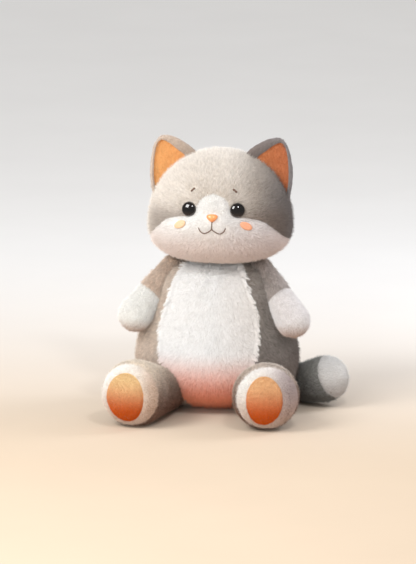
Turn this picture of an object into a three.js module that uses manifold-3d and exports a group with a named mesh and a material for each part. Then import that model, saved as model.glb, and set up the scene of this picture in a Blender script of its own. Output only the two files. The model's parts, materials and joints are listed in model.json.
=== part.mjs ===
// A seated plush cat: a stuffed head, body, two arms, two legs and a tail, each a sewn plush cover over
// fibre stuffing. Plastic doll joints (disc, washer and lock) hold the head and limbs, and the eyes and
// nose are safety parts with a stem and a lock behind the fabric. Millimetres, +Z up. The cat faces -Y and
// its left side is +X. The origin is the middle of the flat seat.
import * as THREE from "three";
import { mergeVertices } from "three/addons/utils/BufferGeometryUtils.js";
import Module from "manifold-3d";

const wasm = await Module();
wasm.setup();

// Driving dimensions, in millimetres and degrees.
const FABRIC = 3; // plush backing and flattened pile
const SEAM_GAP = 0.3; // between two panels at a seam
const LOOSE = 1.5; // between a cover and its stuffing
const REST_GAP = 0.4; // between hard parts that sit together
const SURFACE_GAP = 0.35; // between the fabric and what is sewn or pressed onto it
const LIMB_GAP = 1.5; // between the body and a limb
const TAIL_GAP = 2.5; // between the body and the tail
const ROOM_EASE = 1.04; // makes a room's coarser facets clear the limb's

// The head, from the neck joint up. Its white face ends at a side seam.
const NECK = new THREE.Vector3(4, 0, 187);
const HEAD = {
  halfWidth: 93.5,
  depth: 0.86,
  lowest: 4,
  widest: 53.6,
  top: 149.5,
  chinPower: 2.8,
  sideSeam: 6,
};
const FACE_EDGE = [
  [14, 98.5],
  [20.5, 90],
  [24, 79],
  [32, 75.6],
  [44, 74.4],
  [60, 68],
  [76, 54],
  [90, 36],
  [104, 18],
];
const FACE_TOP = 104;
const EYE = { x: 31.5, z: 83.5, radius: 9.2, height: 5, stem: 2.4 };
const NOSE = { z: 73.4, halfWidth: 7.8, halfHeight: 5, height: 4.5, stem: 2, middleShare: 0.82, spread: 0.3 };
const STEM = { end: -13, lockBack: -7.2, lockFront: -4.8, lockShare: 3, pocketEnd: -15 };
const BROW = { x: 27.3, z: 109, radius: 1.2, length: 3.6, tilt: 42 };
const CHEEK = { x: 43, z: 63, half: [8.4, 5.3], thick: 1.2, tilt: 20 };
const MOUTH = { halfWidth: 17.4, dip: 9.6, top: 68, middle: 59, low: 53.2, end: 60.2, thread: 0.75 };

// The ears. Each is sewn on along an edge through its foot that runs down and outwards.
const EAR = { front: -2, back: 8, edge: 2, gap: 1.6, liningThick: 1.6, y: 8, foot: [62.5, 118.5] };
const EAR_EDGE = new THREE.Vector3(0.72, 0, -0.694);
const EAR_RISE = new THREE.Vector3(0.694, 0, 0.72);

// The body: half widths and heights of its outline, and of the white belly's.
const BODY = { frontDepth: 0.82, backDepth: 0.76, seat: 48, neckFlat: 36, top: 188.6, bellySeam: -8 };
const BODY_OUTLINE = [
  [BODY.seat, 0],
  [85, 12],
  [102, 36],
  [106, 66],
  [101, 94],
  [90, 127],
  [79, 156],
  [62, 178],
  [BODY.neckFlat, BODY.top],
];
const BELLY_EDGE = [
  [28, 14],
  [37, 33],
  [53, 57],
  [61, 85],
  [61, 112],
  [53, 149],
  [42, 176],
];
const BELLY_BOTTOM = 6;
const POUCH = { across: 43, depth: 22, height: 24, y: 9, base: 4.6 };

// The left arm. Its room in the body is swept through turns, since it swings forwards.
const ARM = {
  shoulder: new THREE.Vector3(76, -13, 172),
  end: new THREE.Vector3(101, -43, 119),
  outwards: new THREE.Vector3(0.83, 0, 0.56),
  behind: 10,
  reach: 66,
  rootRadius: 12,
  endRadius: 24.5,
  mittSeam: 28,
  discFace: -4.4,
  bodyWall: -23,
  swingRoom: 3.4,
  turns: [0, -24, -48, -70],
};

// The left leg, from its hip to the middle of its round foot. Its room in the body widens towards the foot.
const LEG = {
  hip: new THREE.Vector3(57, -49, 35),
  foot: new THREE.Vector3(84.5, -143, 41),
  rootRadius: 27,
  discFace: -15,
  bodyWall: -35,
  travelRoom: 0.55,
};
const FOOT = { radius: 41, sole: 0.84, bandSeam: 13, padHalf: [26, 31] };

// The tail runs round the left side. Its white tip faces tipSeam.
const TAIL = { rootRadius: 14, endRadius: 30.5, tipSeam: new THREE.Vector3(0.88, -0.25, 0.4) };
const TAIL_PATH = [
  [66, 62, 22],
  [96, 40, 23],
  [120, 17, 29],
  [141, 4, 37],
];

// Doll joints: radii of disc, post and lock, and how thick each is.
const JOINTS = {
  neck: { disc: 18, post: 4, lock: 9, thick: 3 },
  shoulder: { disc: 8, post: 2.4, lock: 5.5, thick: 2 },
  hip: { disc: 14, post: 4, lock: 8, thick: 2.5 },
};
const DISC_GAP = 0.9; // between a disc and the fabric it rests on
const WASHER_GAP = 1.4; // between a washer and the fabric it rests on
const POST_GAP = 1; // between a post and the fabric it passes through
const POCKET_GAP = 1.2; // between hard parts and the stuffing round them
const POST_END = 2; // the post beyond its lock
const POCKET_END = 4; // the pocket beyond the lock, for the post's end

const GREY = 0x9c948d;
const WHITE = 0xeeebe6;
const ORANGE = 0xd98548;
const PEACH = 0xeeb48c;
const BLACK = 0x1d1a18;
const BROWN = 0x5b4a42;
const FIBRE = 0xf2f0ea;
const LINEN = 0xcdbfa6;
const PLASTIC = 0xe4e2da;

const FABRIC_FINISH = { roughness: 0.95, metalness: 0 };
const PLASTIC_FINISH = { roughness: 0.45, metalness: 0 };
const GLOSSY_FINISH = { roughness: 0.12, metalness: 0 };

const Z_AXIS = new THREE.Vector3(0, 0, 1);
const SIDES = ["left", "right"];

// Solids and meshes.

// A geometry's places and triangles alone, with equal places merged.
function welded(geometry) {
  const bare = new THREE.BufferGeometry().setAttribute("position", geometry.getAttribute("position").clone());
  if (geometry.index) bare.setIndex(geometry.index.clone());
  return mergeVertices(bare, 1e-3);
}

// A closed geometry as a solid, without the empty triangles of its poles.
function solid(geometry) {
  const merged = welded(geometry);
  const kept = [];
  for (let i = 0; i < merged.index.count; i += 3) {
    const [a, b, c] = [0, 1, 2].map((corner) => merged.index.getX(i + corner));
    if (a !== b && b !== c && a !== c) kept.push(a, b, c);
  }
  return new wasm.Manifold(
    new wasm.Mesh({
      numProp: 3,
      vertProperties: new Float32Array(merged.attributes.position.array),
      triVerts: new Uint32Array(kept),
    }),
  );
}

function mesh(name, made, color, finish) {
  const { vertProperties, triVerts } = made.getMesh();
  const geometry = new THREE.BufferGeometry()
    .setAttribute("position", new THREE.BufferAttribute(new Float32Array(vertProperties), 3))
    .setIndex(new THREE.BufferAttribute(new Uint32Array(triVerts), 1));
  geometry.computeVertexNormals();
  const named = new THREE.Mesh(geometry, new THREE.MeshStandardMaterial({ color, ...finish }));
  named.name = name;
  return named;
}

function moved(made, matrix) {
  return made.transform(matrix.elements);
}

function mirrored(made) {
  return moved(made, new THREE.Matrix4().makeScale(-1, 1, 1));
}

// A solid of the left side joined to its mirror image.
function pair(made) {
  return made.add(mirrored(made));
}

function onSide(made, side) {
  return side === "left" ? made : mirrored(made);
}

// Forms.

// Moves every vertex of a geometry by a function of its place.
function reshape(geometry, move) {
  const position = geometry.getAttribute("position");
  const point = new THREE.Vector3();
  for (let i = 0; i < position.count; i++) {
    point.fromBufferAttribute(position, i);
    move(point);
    position.setXYZ(i, point.x, point.y, point.z);
  }
  return geometry;
}

// A closed form turned about +Z from [radius, height] points that run from the bottom of the axis to its top.
function turned(outline, segments) {
  const points = outline.map(([radius, height]) => new THREE.Vector2(radius, height));
  return new THREE.LatheGeometry(points, segments).rotateX(Math.PI / 2);
}

// The same form with its surface moved inwards along its normals.
function inset(geometry, distance) {
  const merged = welded(geometry);
  merged.computeVertexNormals();
  const position = merged.getAttribute("position");
  const normals = merged.getAttribute("normal");
  const point = new THREE.Vector3();
  const normal = new THREE.Vector3();
  for (let i = 0; i < position.count; i++) {
    normal.fromBufferAttribute(normals, i);
    point.fromBufferAttribute(position, i).addScaledVector(normal, -distance);
    position.setXYZ(i, point.x, point.y, point.z);
  }
  return merged;
}

// A cylinder along +Z between two heights.
function rod(radius, from, to, sides = 12) {
  const upright = new THREE.CylinderGeometry(radius, radius, to - from, sides).rotateX(Math.PI / 2);
  return solid(upright.translate(0, 0, (from + to) / 2));
}

// The same cylinder along +X.
function crossRod(radius, from, to, sides = 12) {
  const lying = new THREE.CylinderGeometry(radius, radius, to - from, sides).rotateZ(Math.PI / 2);
  return solid(lying.translate((from + to) / 2, 0, 0));
}

function ring(outer, inner, from, to) {
  return crossRod(outer, from, to).subtract(crossRod(inner, from - 1, to + 1));
}

// A front-view outline, x across and y up, carried through the object from one depth to another.
function prism(shape, front, back, curveSegments = 12) {
  const made = new THREE.ExtrudeGeometry(shape, { depth: back - front, bevelEnabled: false, curveSegments });
  return solid(made.rotateX(Math.PI / 2).translate(0, back, 0));
}

// A half space: everything beyond a plane, as a large box.
function beyond(point, normal) {
  const size = 400;
  const box = new THREE.BoxGeometry(size, size, size).translate(0, 0, size / 2);
  box.applyQuaternion(new THREE.Quaternion().setFromUnitVectors(Z_AXIS, normal));
  return solid(box.translate(point.x, point.y, point.z));
}

// The outline of two circles on the axis, joined by their common tangent. flat shortens the far end's cap.
function taperedOutline(rootRadius, endRadius, length, steps, flat = 1) {
  const lean = Math.asin((rootRadius - endRadius) / length);
  const outline = [];
  for (let i = 0; i <= steps; i++) {
    const angle = THREE.MathUtils.lerp(-Math.PI / 2, lean, i / steps);
    outline.push([rootRadius * Math.cos(angle), rootRadius * Math.sin(angle)]);
  }
  for (let i = 0; i <= steps; i++) {
    const angle = THREE.MathUtils.lerp(lean, Math.PI / 2, i / steps);
    const rise = endRadius * Math.sin(angle);
    outline.push([endRadius * Math.cos(angle), length + (rise > 0 ? rise * flat : rise)]);
  }
  outline[0][0] = 0;
  outline[outline.length - 1][0] = 0;
  return outline;
}

// The frame of a limb: x out of its joint, z along the limb.
function limbFrame(origin, outwards, along) {
  const up = new THREE.Vector3().crossVectors(along, outwards).normalize();
  return new THREE.Matrix4().makeBasis(outwards, up, along).setPosition(origin);
}

function groupAt(matrix) {
  const group = new THREE.Group();
  matrix.decompose(group.position, group.quaternion, group.scale);
  return group;
}

// A doll joint, along -X from its centre: a disc inside the limb with its post, and the lock pressed on the
// post inside the body. The washer between lock and body stays with the body.
function dollJoint({ disc, post, lock, thick }, discFace, wall) {
  const washerFace = wall - WASHER_GAP;
  const lockFace = washerFace - thick - REST_GAP;
  const lockBack = lockFace - thick;
  return {
    disc: crossRod(disc, discFace - thick, discFace).add(crossRod(post, lockBack - POST_END, discFace)),
    lock: ring(lock, post + REST_GAP / 2, lockBack, lockFace),
    washer: ring(disc, post + REST_GAP, washerFace - thick, washerFace),
    hole: crossRod(post + POST_GAP, lockBack - POCKET_END, discFace),
    limbPocket: crossRod(disc + POCKET_GAP, wall, discFace + POST_GAP),
    bodyPocket: crossRod(disc + POCKET_GAP, lockBack - POCKET_END, wall + POCKET_END),
  };
}

// The head: half width and depth from one profile, widest low down, with a flatter chin.

function headOutline(steps) {
  const outline = [];
  for (let i = 0; i <= steps; i++) {
    const angle = ((Math.PI / 2) * i) / steps;
    const across = Math.sin(angle) ** (2 / HEAD.chinPower);
    const down = Math.cos(angle) ** (2 / HEAD.chinPower);
    outline.push([HEAD.halfWidth * across, HEAD.widest - (HEAD.widest - HEAD.lowest) * down]);
  }
  for (let i = 1; i <= steps; i++) {
    const angle = ((Math.PI / 2) * i) / steps;
    const rise = (HEAD.top - HEAD.widest) * Math.sin(angle);
    outline.push([HEAD.halfWidth * Math.cos(angle), HEAD.widest + rise]);
  }
  outline[0][0] = 0;
  outline[outline.length - 1][0] = 0;
  return outline;
}

function headForm(segments, steps) {
  return turned(headOutline(steps), segments).scale(1, HEAD.depth, 1);
}

// The point of the head's front at x and z, and the way it faces.
function onFace(x, z) {
  const front = (px, pz) => {
    const share =
      pz > HEAD.widest
        ? Math.sqrt(1 - ((pz - HEAD.widest) / (HEAD.top - HEAD.widest)) ** 2)
        : (1 - ((HEAD.widest - pz) / (HEAD.widest - HEAD.lowest)) ** HEAD.chinPower) ** (1 / HEAD.chinPower);
    const half = HEAD.halfWidth * share;
    return -HEAD.depth * Math.sqrt(half ** 2 - px ** 2);
  };
  const step = 0.5;
  const slopeX = (front(x + step, z) - front(x - step, z)) / (2 * step);
  const slopeZ = (front(x, z + step) - front(x, z - step)) / (2 * step);
  return {
    point: new THREE.Vector3(x, front(x, z), z),
    normal: new THREE.Vector3(slopeX, -1, slopeZ).normalize(),
  };
}

// The frame of something set on the face: z straight out of it, x across and y up.
function faceFrame(x, z, lift = 0) {
  const { point, normal } = onFace(x, z);
  const across = new THREE.Vector3().crossVectors(new THREE.Vector3(0, 0, 1), normal).normalize();
  const up = new THREE.Vector3().crossVectors(normal, across);
  return new THREE.Matrix4().makeBasis(across, up, normal).setPosition(point.addScaledVector(normal, lift));
}

// The white of the face, seen from the front: a blaze between the eyes over two cheeks. shrink pulls it in.
function facePatch(shrink) {
  const [edgeX] = FACE_EDGE[FACE_EDGE.length - 1];
  const half = FACE_EDGE.map(([x, z]) => new THREE.Vector2(x - shrink, z - shrink));
  const top = new THREE.Vector2(0, FACE_TOP - shrink);
  const left = half.map((point) => new THREE.Vector2(-point.x, point.y)).reverse();
  const edge = new THREE.SplineCurve([...left, top, ...half]).getPoints(44);
  const below = [-edgeX, edgeX].map((x) => new THREE.Vector2(x, -10));
  return new THREE.Shape([below[0], ...edge, below[1]].reverse());
}

function earShape() {
  const shape = new THREE.Shape();
  shape.moveTo(26, 127);
  shape.quadraticCurveTo(42, 158, 66, 165.5);
  shape.quadraticCurveTo(78, 171, 82, 158);
  shape.quadraticCurveTo(97, 124, 88, 84);
  shape.lineTo(58, 100);
  shape.closePath();
  return shape;
}

function earLiningShape(grow) {
  const shape = new THREE.Shape();
  shape.moveTo(40 - grow, 122);
  shape.quadraticCurveTo(54 - grow, 148 + grow, 68, 157 + grow);
  shape.quadraticCurveTo(75, 160 + grow, 77 + grow, 151 + grow);
  shape.quadraticCurveTo(90 + grow, 120, 82 + grow, 86);
  shape.lineTo(58, 100 - grow);
  shape.closePath();
  return shape;
}

// The ear's thickness, seen along its sewn edge: flat in front, full behind, thin where it is sewn on.
function earWedge() {
  const side = new THREE.Shape([
    new THREE.Vector2(EAR.front, -40),
    new THREE.Vector2(EAR.edge, -40),
    new THREE.Vector2(EAR.edge, 6),
    new THREE.Vector2(EAR.back, 22),
    new THREE.Vector2(EAR.back, 40),
    new THREE.Vector2(EAR.edge, 62),
    new THREE.Vector2(EAR.front, 62),
  ]);
  // Side x is depth and side y is height over the sewn edge.
  const length = 160;
  const [footX, footZ] = EAR.foot;
  const frame = new THREE.Matrix4()
    .makeBasis(new THREE.Vector3(0, 1, 0), EAR_RISE, EAR_EDGE)
    .setPosition(new THREE.Vector3(footX, 0, footZ).addScaledVector(EAR_EDGE, -length / 2));
  const wedge = new THREE.ExtrudeGeometry(side, { depth: length, bevelEnabled: false });
  return solid(wedge.applyMatrix4(frame));
}

// The left ear's two panels. headRoom is the head with the gap round it.
function earPanels(headRoom) {
  const far = 30;
  const liningBack = EAR.front + EAR.liningThick;
  const whole = prism(earShape(), -far, far, 6)
    .intersect(earWedge())
    .translate([0, EAR.y, 0])
    .subtract(headRoom);
  const recess = prism(earLiningShape(SEAM_GAP), EAR.y - far, EAR.y + liningBack + SEAM_GAP, 6);
  const lining = whole.intersect(prism(earLiningShape(0), EAR.y - far, EAR.y + liningBack, 6));
  return { back: whole.subtract(recess), lining };
}

// The nose: a domed button, wide at the top and narrow at the bottom.
function noseForm() {
  const outline = [
    [0, SURFACE_GAP],
    [1, SURFACE_GAP],
    [1, 1.2],
    [0.84, 3.2],
    [0.46, NOSE.height],
    [0, NOSE.height + 0.4],
  ];
  const button = turned(outline, 18).scale(NOSE.halfWidth, NOSE.halfHeight, 1);
  return reshape(button, (point) => {
    point.x *= NOSE.middleShare + (NOSE.spread * point.y) / NOSE.halfHeight;
  });
}

// A safety part's stem and the lock behind the fabric, along -Z from the fabric's face.
function safetyStem(stem) {
  const lock = stem * STEM.lockShare;
  const opening = rod(stem + REST_GAP / 2, STEM.lockBack - 1, STEM.lockFront + 1, 10);
  return {
    stem: rod(stem, STEM.end, 1, 10),
    lock: rod(lock, STEM.lockBack, STEM.lockFront, 14).subtract(opening),
    hole: rod(stem + POST_GAP / 2, STEM.pocketEnd, 2, 10),
    pocket: rod(lock + POCKET_GAP, STEM.pocketEnd, 2, 12),
  };
}

// Half the section of a safety eye and its stem.
function eyeOutline(steps) {
  const outline = [
    [0, STEM.end],
    [EYE.stem, STEM.end],
    [EYE.stem, SURFACE_GAP],
    [EYE.radius, SURFACE_GAP],
  ];
  for (let i = 0; i <= steps; i++) {
    const angle = ((Math.PI / 2) * i) / steps;
    outline.push([EYE.radius * Math.cos(angle), 1 + EYE.height * Math.sin(angle)]);
  }
  outline[outline.length - 1][0] = 0;
  return outline;
}

// A thread that follows [x, z] points over the face.
function threadOver(points) {
  const lift = MOUTH.thread + SURFACE_GAP;
  const places = points.map(([x, z]) => {
    const { point, normal } = onFace(x, z);
    return point.addScaledVector(normal, lift);
  });
  const round = new THREE.Shape().absarc(0, 0, MOUTH.thread, 0, Math.PI * 2);
  const extrudePath = new THREE.CatmullRomCurve3(places);
  return solid(new THREE.ExtrudeGeometry(round, { steps: 7, curveSegments: 2, extrudePath }));
}

function mouthStitching() {
  const { halfWidth, dip, top, middle, low, end } = MOUTH;
  const lip = [
    [halfWidth, end],
    [halfWidth * 0.86, low + 2.2],
    [dip, low],
    [halfWidth * 0.2, low + 2.4],
    [0, middle],
  ];
  const otherLip = lip.map(([x, z]) => [-x, z]);
  const upright = [[0, top], [0, (top + middle) / 2], [0, middle - 0.5]];
  return threadOver(lip).add(threadOver(otherLip)).add(threadOver(upright));
}

function headJoint() {
  const discFace = HEAD.lowest + FABRIC + DISC_GAP + JOINTS.neck.thick;
  return dollJoint(JOINTS.neck, discFace, BODY.top - NECK.z - FABRIC);
}

// Points the neck joint straight down: its -X becomes -Z.
function downwards() {
  return new THREE.Matrix4().makeRotationY(-Math.PI / 2);
}

// The head's cover in two panels and its stuffing, with holes for the stems and the neck joint.
function headPanels(eyeFrames, noseFrame) {
  const outer = headForm(24, 6);
  const eye = safetyStem(EYE.stem);
  const nose = safetyStem(NOSE.stem);
  const { post, disc, thick } = JOINTS.neck;
  const pocketTop = HEAD.lowest + FABRIC + DISC_GAP + thick + POCKET_GAP;
  const holes = [
    ...eyeFrames.map((frame) => moved(eye.hole, frame)),
    moved(nose.hole, noseFrame),
    rod(post + POST_GAP, -pocketTop, pocketTop),
  ];
  const pockets = [
    ...eyeFrames.map((frame) => moved(eye.pocket, frame)),
    moved(nose.pocket, noseFrame),
    rod(disc + POCKET_GAP, -pocketTop, pocketTop),
  ];
  const cut = (from, tools) => tools.reduce((left, tool) => left.subtract(tool), from);
  const shell = cut(solid(outer).subtract(solid(inset(outer, FABRIC))), holes);
  const stuffing = cut(solid(inset(headForm(12, 6), FABRIC + LOOSE)), pockets);
  const front = -120;
  return [
    mesh("crown_cover", shell.subtract(prism(facePatch(0), front, HEAD.sideSeam)), GREY, FABRIC_FINISH),
    mesh(
      "face_panel",
      shell.intersect(prism(facePatch(SEAM_GAP), front, HEAD.sideSeam - SEAM_GAP)),
      WHITE,
      FABRIC_FINISH,
    ),
    mesh("head_stuffing", stuffing, FIBRE, FABRIC_FINISH),
  ];
}

// What one side of the face carries: a brow and a cheek patch, each leaning with the side.
function faceMarks(side) {
  const sign = side === "left" ? 1 : -1;
  const brow = new THREE.CapsuleGeometry(BROW.radius, BROW.length, 3, 8).rotateZ(Math.PI / 2);
  const browSet = groupAt(faceFrame(sign * BROW.x, BROW.z, BROW.radius + SURFACE_GAP));
  browSet.rotateZ(THREE.MathUtils.degToRad(-sign * BROW.tilt));
  browSet.add(mesh(`${side}_brow`, solid(brow), BROWN, FABRIC_FINISH));
  const cheek = rod(1, -CHEEK.thick / 2, CHEEK.thick / 2, 18).scale([...CHEEK.half, 1]);
  const cheekSet = groupAt(faceFrame(sign * CHEEK.x, CHEEK.z, CHEEK.thick / 2 + SURFACE_GAP));
  cheekSet.rotateZ(THREE.MathUtils.degToRad(-sign * CHEEK.tilt));
  cheekSet.add(mesh(`${side}_cheek_patch`, cheek, PEACH, FABRIC_FINISH));
  return [browSet, cheekSet];
}

// An eye or the nose with its lock, set on the face.
function safetySet(frame, name, part, lock, color, finish) {
  const set = groupAt(frame);
  set.add(mesh(name, part, color, finish), mesh(`${name}_lock`, lock, PLASTIC, PLASTIC_FINISH));
  return set;
}

function makeHead() {
  const head = new THREE.Group();
  head.position.copy(NECK);
  const eyeFrames = [faceFrame(EYE.x, EYE.z), faceFrame(-EYE.x, EYE.z)];
  const noseFrame = faceFrame(0, NOSE.z);
  head.add(...headPanels(eyeFrames, noseFrame));

  const { back, lining } = earPanels(solid(inset(headForm(24, 6), -EAR.gap)));
  const eye = solid(turned(eyeOutline(5), 18));
  const eyeLock = safetyStem(EYE.stem).lock;
  SIDES.forEach((side, index) => {
    head.add(
      mesh(`${side}_ear_back`, onSide(back, side), GREY, FABRIC_FINISH),
      mesh(`${side}_ear_lining`, onSide(lining, side), ORANGE, FABRIC_FINISH),
      safetySet(eyeFrames[index], `${side}_eye`, eye, eyeLock, BLACK, GLOSSY_FINISH),
      ...faceMarks(side),
    );
  });

  const noseStem = safetyStem(NOSE.stem);
  const nose = solid(noseForm()).add(noseStem.stem);
  const joint = headJoint();
  head.add(
    safetySet(noseFrame, "nose", nose, noseStem.lock, ORANGE, PLASTIC_FINISH),
    mesh("mouth_stitching", mouthStitching(), BROWN, FABRIC_FINISH),
    mesh("neck_joint_disc", moved(joint.disc, downwards()), PLASTIC, PLASTIC_FINISH),
    mesh("neck_joint_lock", moved(joint.lock, downwards()), PLASTIC, PLASTIC_FINISH),
  );
  return head;
}

// The body: one profile, fuller in front than behind, on a flat seat.

function bodyForm(segments, steps) {
  const rows = BODY_OUTLINE.map(([radius, height]) => new THREE.Vector2(radius, height));
  const side = new THREE.SplineCurve(rows).getSpacedPoints(steps).map((point) => [point.x, point.y]);
  const form = turned([[0, 0], ...side, [0, BODY.top]], segments);
  return reshape(form, (point) => {
    point.y *= point.y < 0 ? BODY.frontDepth : BODY.backDepth;
  });
}

// The white belly seen from the front: an egg from under the chin down to the seat. shrink pulls it in.
function bellyPatch(shrink) {
  const right = BELLY_EDGE.map(([x, z]) => new THREE.Vector2(x - shrink, z));
  const left = right.map((point) => new THREE.Vector2(-point.x, point.y)).reverse();
  const top = new THREE.Vector2(0, BODY.top - FABRIC - shrink);
  const edge = new THREE.SplineCurve([...right, top, ...left]);
  return new THREE.Shape([...edge.getPoints(32), new THREE.Vector2(0, BELLY_BOTTOM + shrink)]);
}

// Limbs. Each is a turned form along +Z of its own frame, whose x axis is its joint.

function tapered(rootRadius, endRadius, length, segments, steps, flat) {
  return turned(taperedOutline(rootRadius, endRadius, length, steps, flat), segments);
}

function armForm(segments, steps) {
  const length = ARM.behind + ARM.reach;
  return tapered(ARM.rootRadius, ARM.endRadius, length, segments, steps).translate(0, 0, -ARM.behind);
}

function legForm(segments, steps) {
  const length = LEG.hip.distanceTo(LEG.foot);
  return tapered(LEG.rootRadius, FOOT.radius, length, segments, steps, FOOT.sole);
}

// The frames of the left arm and leg. The right ones are their mirror images.
function armFrame() {
  const along = ARM.end.clone().sub(ARM.shoulder).normalize();
  const outwards = ARM.outwards.clone().projectOnPlane(along).normalize();
  return limbFrame(ARM.shoulder, outwards, along);
}

function legFrame() {
  const along = LEG.foot.clone().sub(LEG.hip).normalize();
  const outwards = new THREE.Vector3().crossVectors(Z_AXIS, along).normalize();
  return limbFrame(LEG.hip, outwards, along);
}

// The room the body leaves for its limbs: their forms grown by a gap, the legs' deepened for their travel.
function limbRoom(gap) {
  const legLength = LEG.hip.distanceTo(LEG.foot);
  const wide = (radius) => (radius + gap) * ROOM_EASE;
  const legRoom = tapered(wide(LEG.rootRadius), wide(FOOT.radius), legLength, 16, 3, 1);
  reshape(legRoom, (point) => {
    point.y *= 1 + Math.max(0, (LEG.travelRoom * point.z) / legLength);
  });
  const leg = moved(solid(legRoom), legFrame());
  const armLength = ARM.behind + ARM.reach;
  const swing = ARM.swingRoom;
  const armRoom = tapered(wide(ARM.rootRadius + swing), wide(ARM.endRadius + swing), armLength, 14, 3, 1);
  const armSolid = solid(armRoom.translate(0, 0, -ARM.behind));
  const arm = ARM.turns
    .map((turn) => new THREE.Matrix4().makeRotationX(THREE.MathUtils.degToRad(turn)))
    .map((turning) => moved(armSolid, armFrame().multiply(turning)))
    .reduce((all, one) => all.add(one));
  const tail = solid(tailForm(12, 5, gap - LIMB_GAP + TAIL_GAP));
  return pair(leg).add(pair(arm)).add(tail);
}

// The tail is a tapered form bent along its path. grow widens it.
function tailForm(segments, steps, grow = 0) {
  const path = new THREE.CatmullRomCurve3(TAIL_PATH.map((point) => new THREE.Vector3(...point)));
  const length = path.getLength();
  const form = tapered(TAIL.rootRadius + grow, TAIL.endRadius + grow, length, segments, steps, 1);
  const across = new THREE.Vector3();
  return reshape(form, (point) => {
    const share = THREE.MathUtils.clamp(point.z / length, 0, 1);
    const beyondEnd = point.z - share * length;
    const centre = path.getPointAt(share);
    const along = path.getTangentAt(share);
    across.crossVectors(Z_AXIS, along).normalize();
    const up = new THREE.Vector3().crossVectors(along, across);
    centre.addScaledVector(across, point.x).addScaledVector(up, point.y);
    point.copy(centre.addScaledVector(along, beyondEnd));
  });
}

function shellOf(form) {
  return solid(form).subtract(solid(inset(form, FABRIC)));
}

function pelletPouch(grow) {
  const { across, depth, height, y, base } = POUCH;
  const outline = [
    [0, 0],
    [0.82, 0],
    [1, 0.3],
    [0.96, 0.75],
    [0.7, 1],
    [0, 1],
  ];
  const pouch = turned(outline, 20).scale(across + grow, depth + grow, height + grow);
  return pouch.translate(0, y, base);
}

function makeBody() {
  const body = new THREE.Group();
  const arm = armFrame();
  const leg = legFrame();
  const neck = new THREE.Matrix4().makeTranslation(NECK).multiply(downwards());
  const shoulder = dollJoint(JOINTS.shoulder, ARM.discFace, ARM.bodyWall);
  const hip = dollJoint(JOINTS.hip, LEG.discFace, LEG.bodyWall);
  const neckJoint = headJoint();

  const outer = bodyForm(24, 12);
  const rough = solid(outer).subtract(limbRoom(LIMB_GAP));
  const hollow = solid(inset(outer, FABRIC)).subtract(limbRoom(LIMB_GAP + FABRIC));
  const limbHoles = pair(moved(shoulder.hole, arm)).add(pair(moved(hip.hole, leg)));
  const cover = rough.subtract(hollow).subtract(limbHoles).subtract(moved(neckJoint.hole, neck));
  const front = -120;
  const back = cover.subtract(prism(bellyPatch(0), front, BODY.bellySeam + SEAM_GAP, 2));
  const belly = cover.intersect(prism(bellyPatch(SEAM_GAP), front, BODY.bellySeam, 2));

  const pockets = pair(moved(shoulder.bodyPocket, arm)).add(pair(moved(hip.bodyPocket, leg)));
  const pouchRoom = solid(pelletPouch(LOOSE));
  const stuffing = solid(inset(bodyForm(12, 12), FABRIC + LOOSE))
    .subtract(limbRoom(LIMB_GAP + FABRIC + LOOSE))
    .subtract(pockets)
    .subtract(moved(neckJoint.bodyPocket, neck))
    .subtract(pouchRoom.add(pouchRoom.translate([0, 0, -POUCH.height / 2])));
  body.add(
    mesh("body_cover", back, GREY, FABRIC_FINISH),
    mesh("belly_panel", belly, WHITE, FABRIC_FINISH),
    mesh("body_stuffing", stuffing, FIBRE, FABRIC_FINISH),
    mesh("pellet_pouch", solid(pelletPouch(0)), LINEN, FABRIC_FINISH),
    mesh("neck_joint_washer", moved(neckJoint.washer, neck), PLASTIC, PLASTIC_FINISH),
  );
  for (const side of SIDES) {
    body.add(
      mesh(`${side}_shoulder_washer`, onSide(moved(shoulder.washer, arm), side), PLASTIC, PLASTIC_FINISH),
      mesh(`${side}_hip_washer`, onSide(moved(hip.washer, leg), side), PLASTIC, PLASTIC_FINISH),
    );
  }
  return body;
}

// Both limbs of one kind, from the left one's solids in its own frame.
function makeLimbs(frame, pieces) {
  const limbs = new THREE.Group();
  for (const side of SIDES)
    for (const [name, made, color, finish] of pieces)
      limbs.add(mesh(`${side}_${name}`, onSide(moved(made, frame), side), color, finish));
  return limbs;
}

function armPieces() {
  const joint = dollJoint(JOINTS.shoulder, ARM.discFace, ARM.bodyWall);
  const shell = shellOf(armForm(16, 5)).subtract(joint.hole);
  const seam = beyond(new THREE.Vector3(0, 0, ARM.mittSeam), Z_AXIS);
  const stuffing = solid(inset(armForm(8, 5), FABRIC + LOOSE)).subtract(joint.limbPocket);
  return [
    ["arm_sleeve", shell.subtract(seam), GREY, FABRIC_FINISH],
    ["mitt", shell.intersect(seam.translate([0, 0, SEAM_GAP])), WHITE, FABRIC_FINISH],
    ["arm_stuffing", stuffing, FIBRE, FABRIC_FINISH],
    ["shoulder_disc", joint.disc, PLASTIC, PLASTIC_FINISH],
    ["shoulder_lock", joint.lock, PLASTIC, PLASTIC_FINISH],
  ];
}

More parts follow.
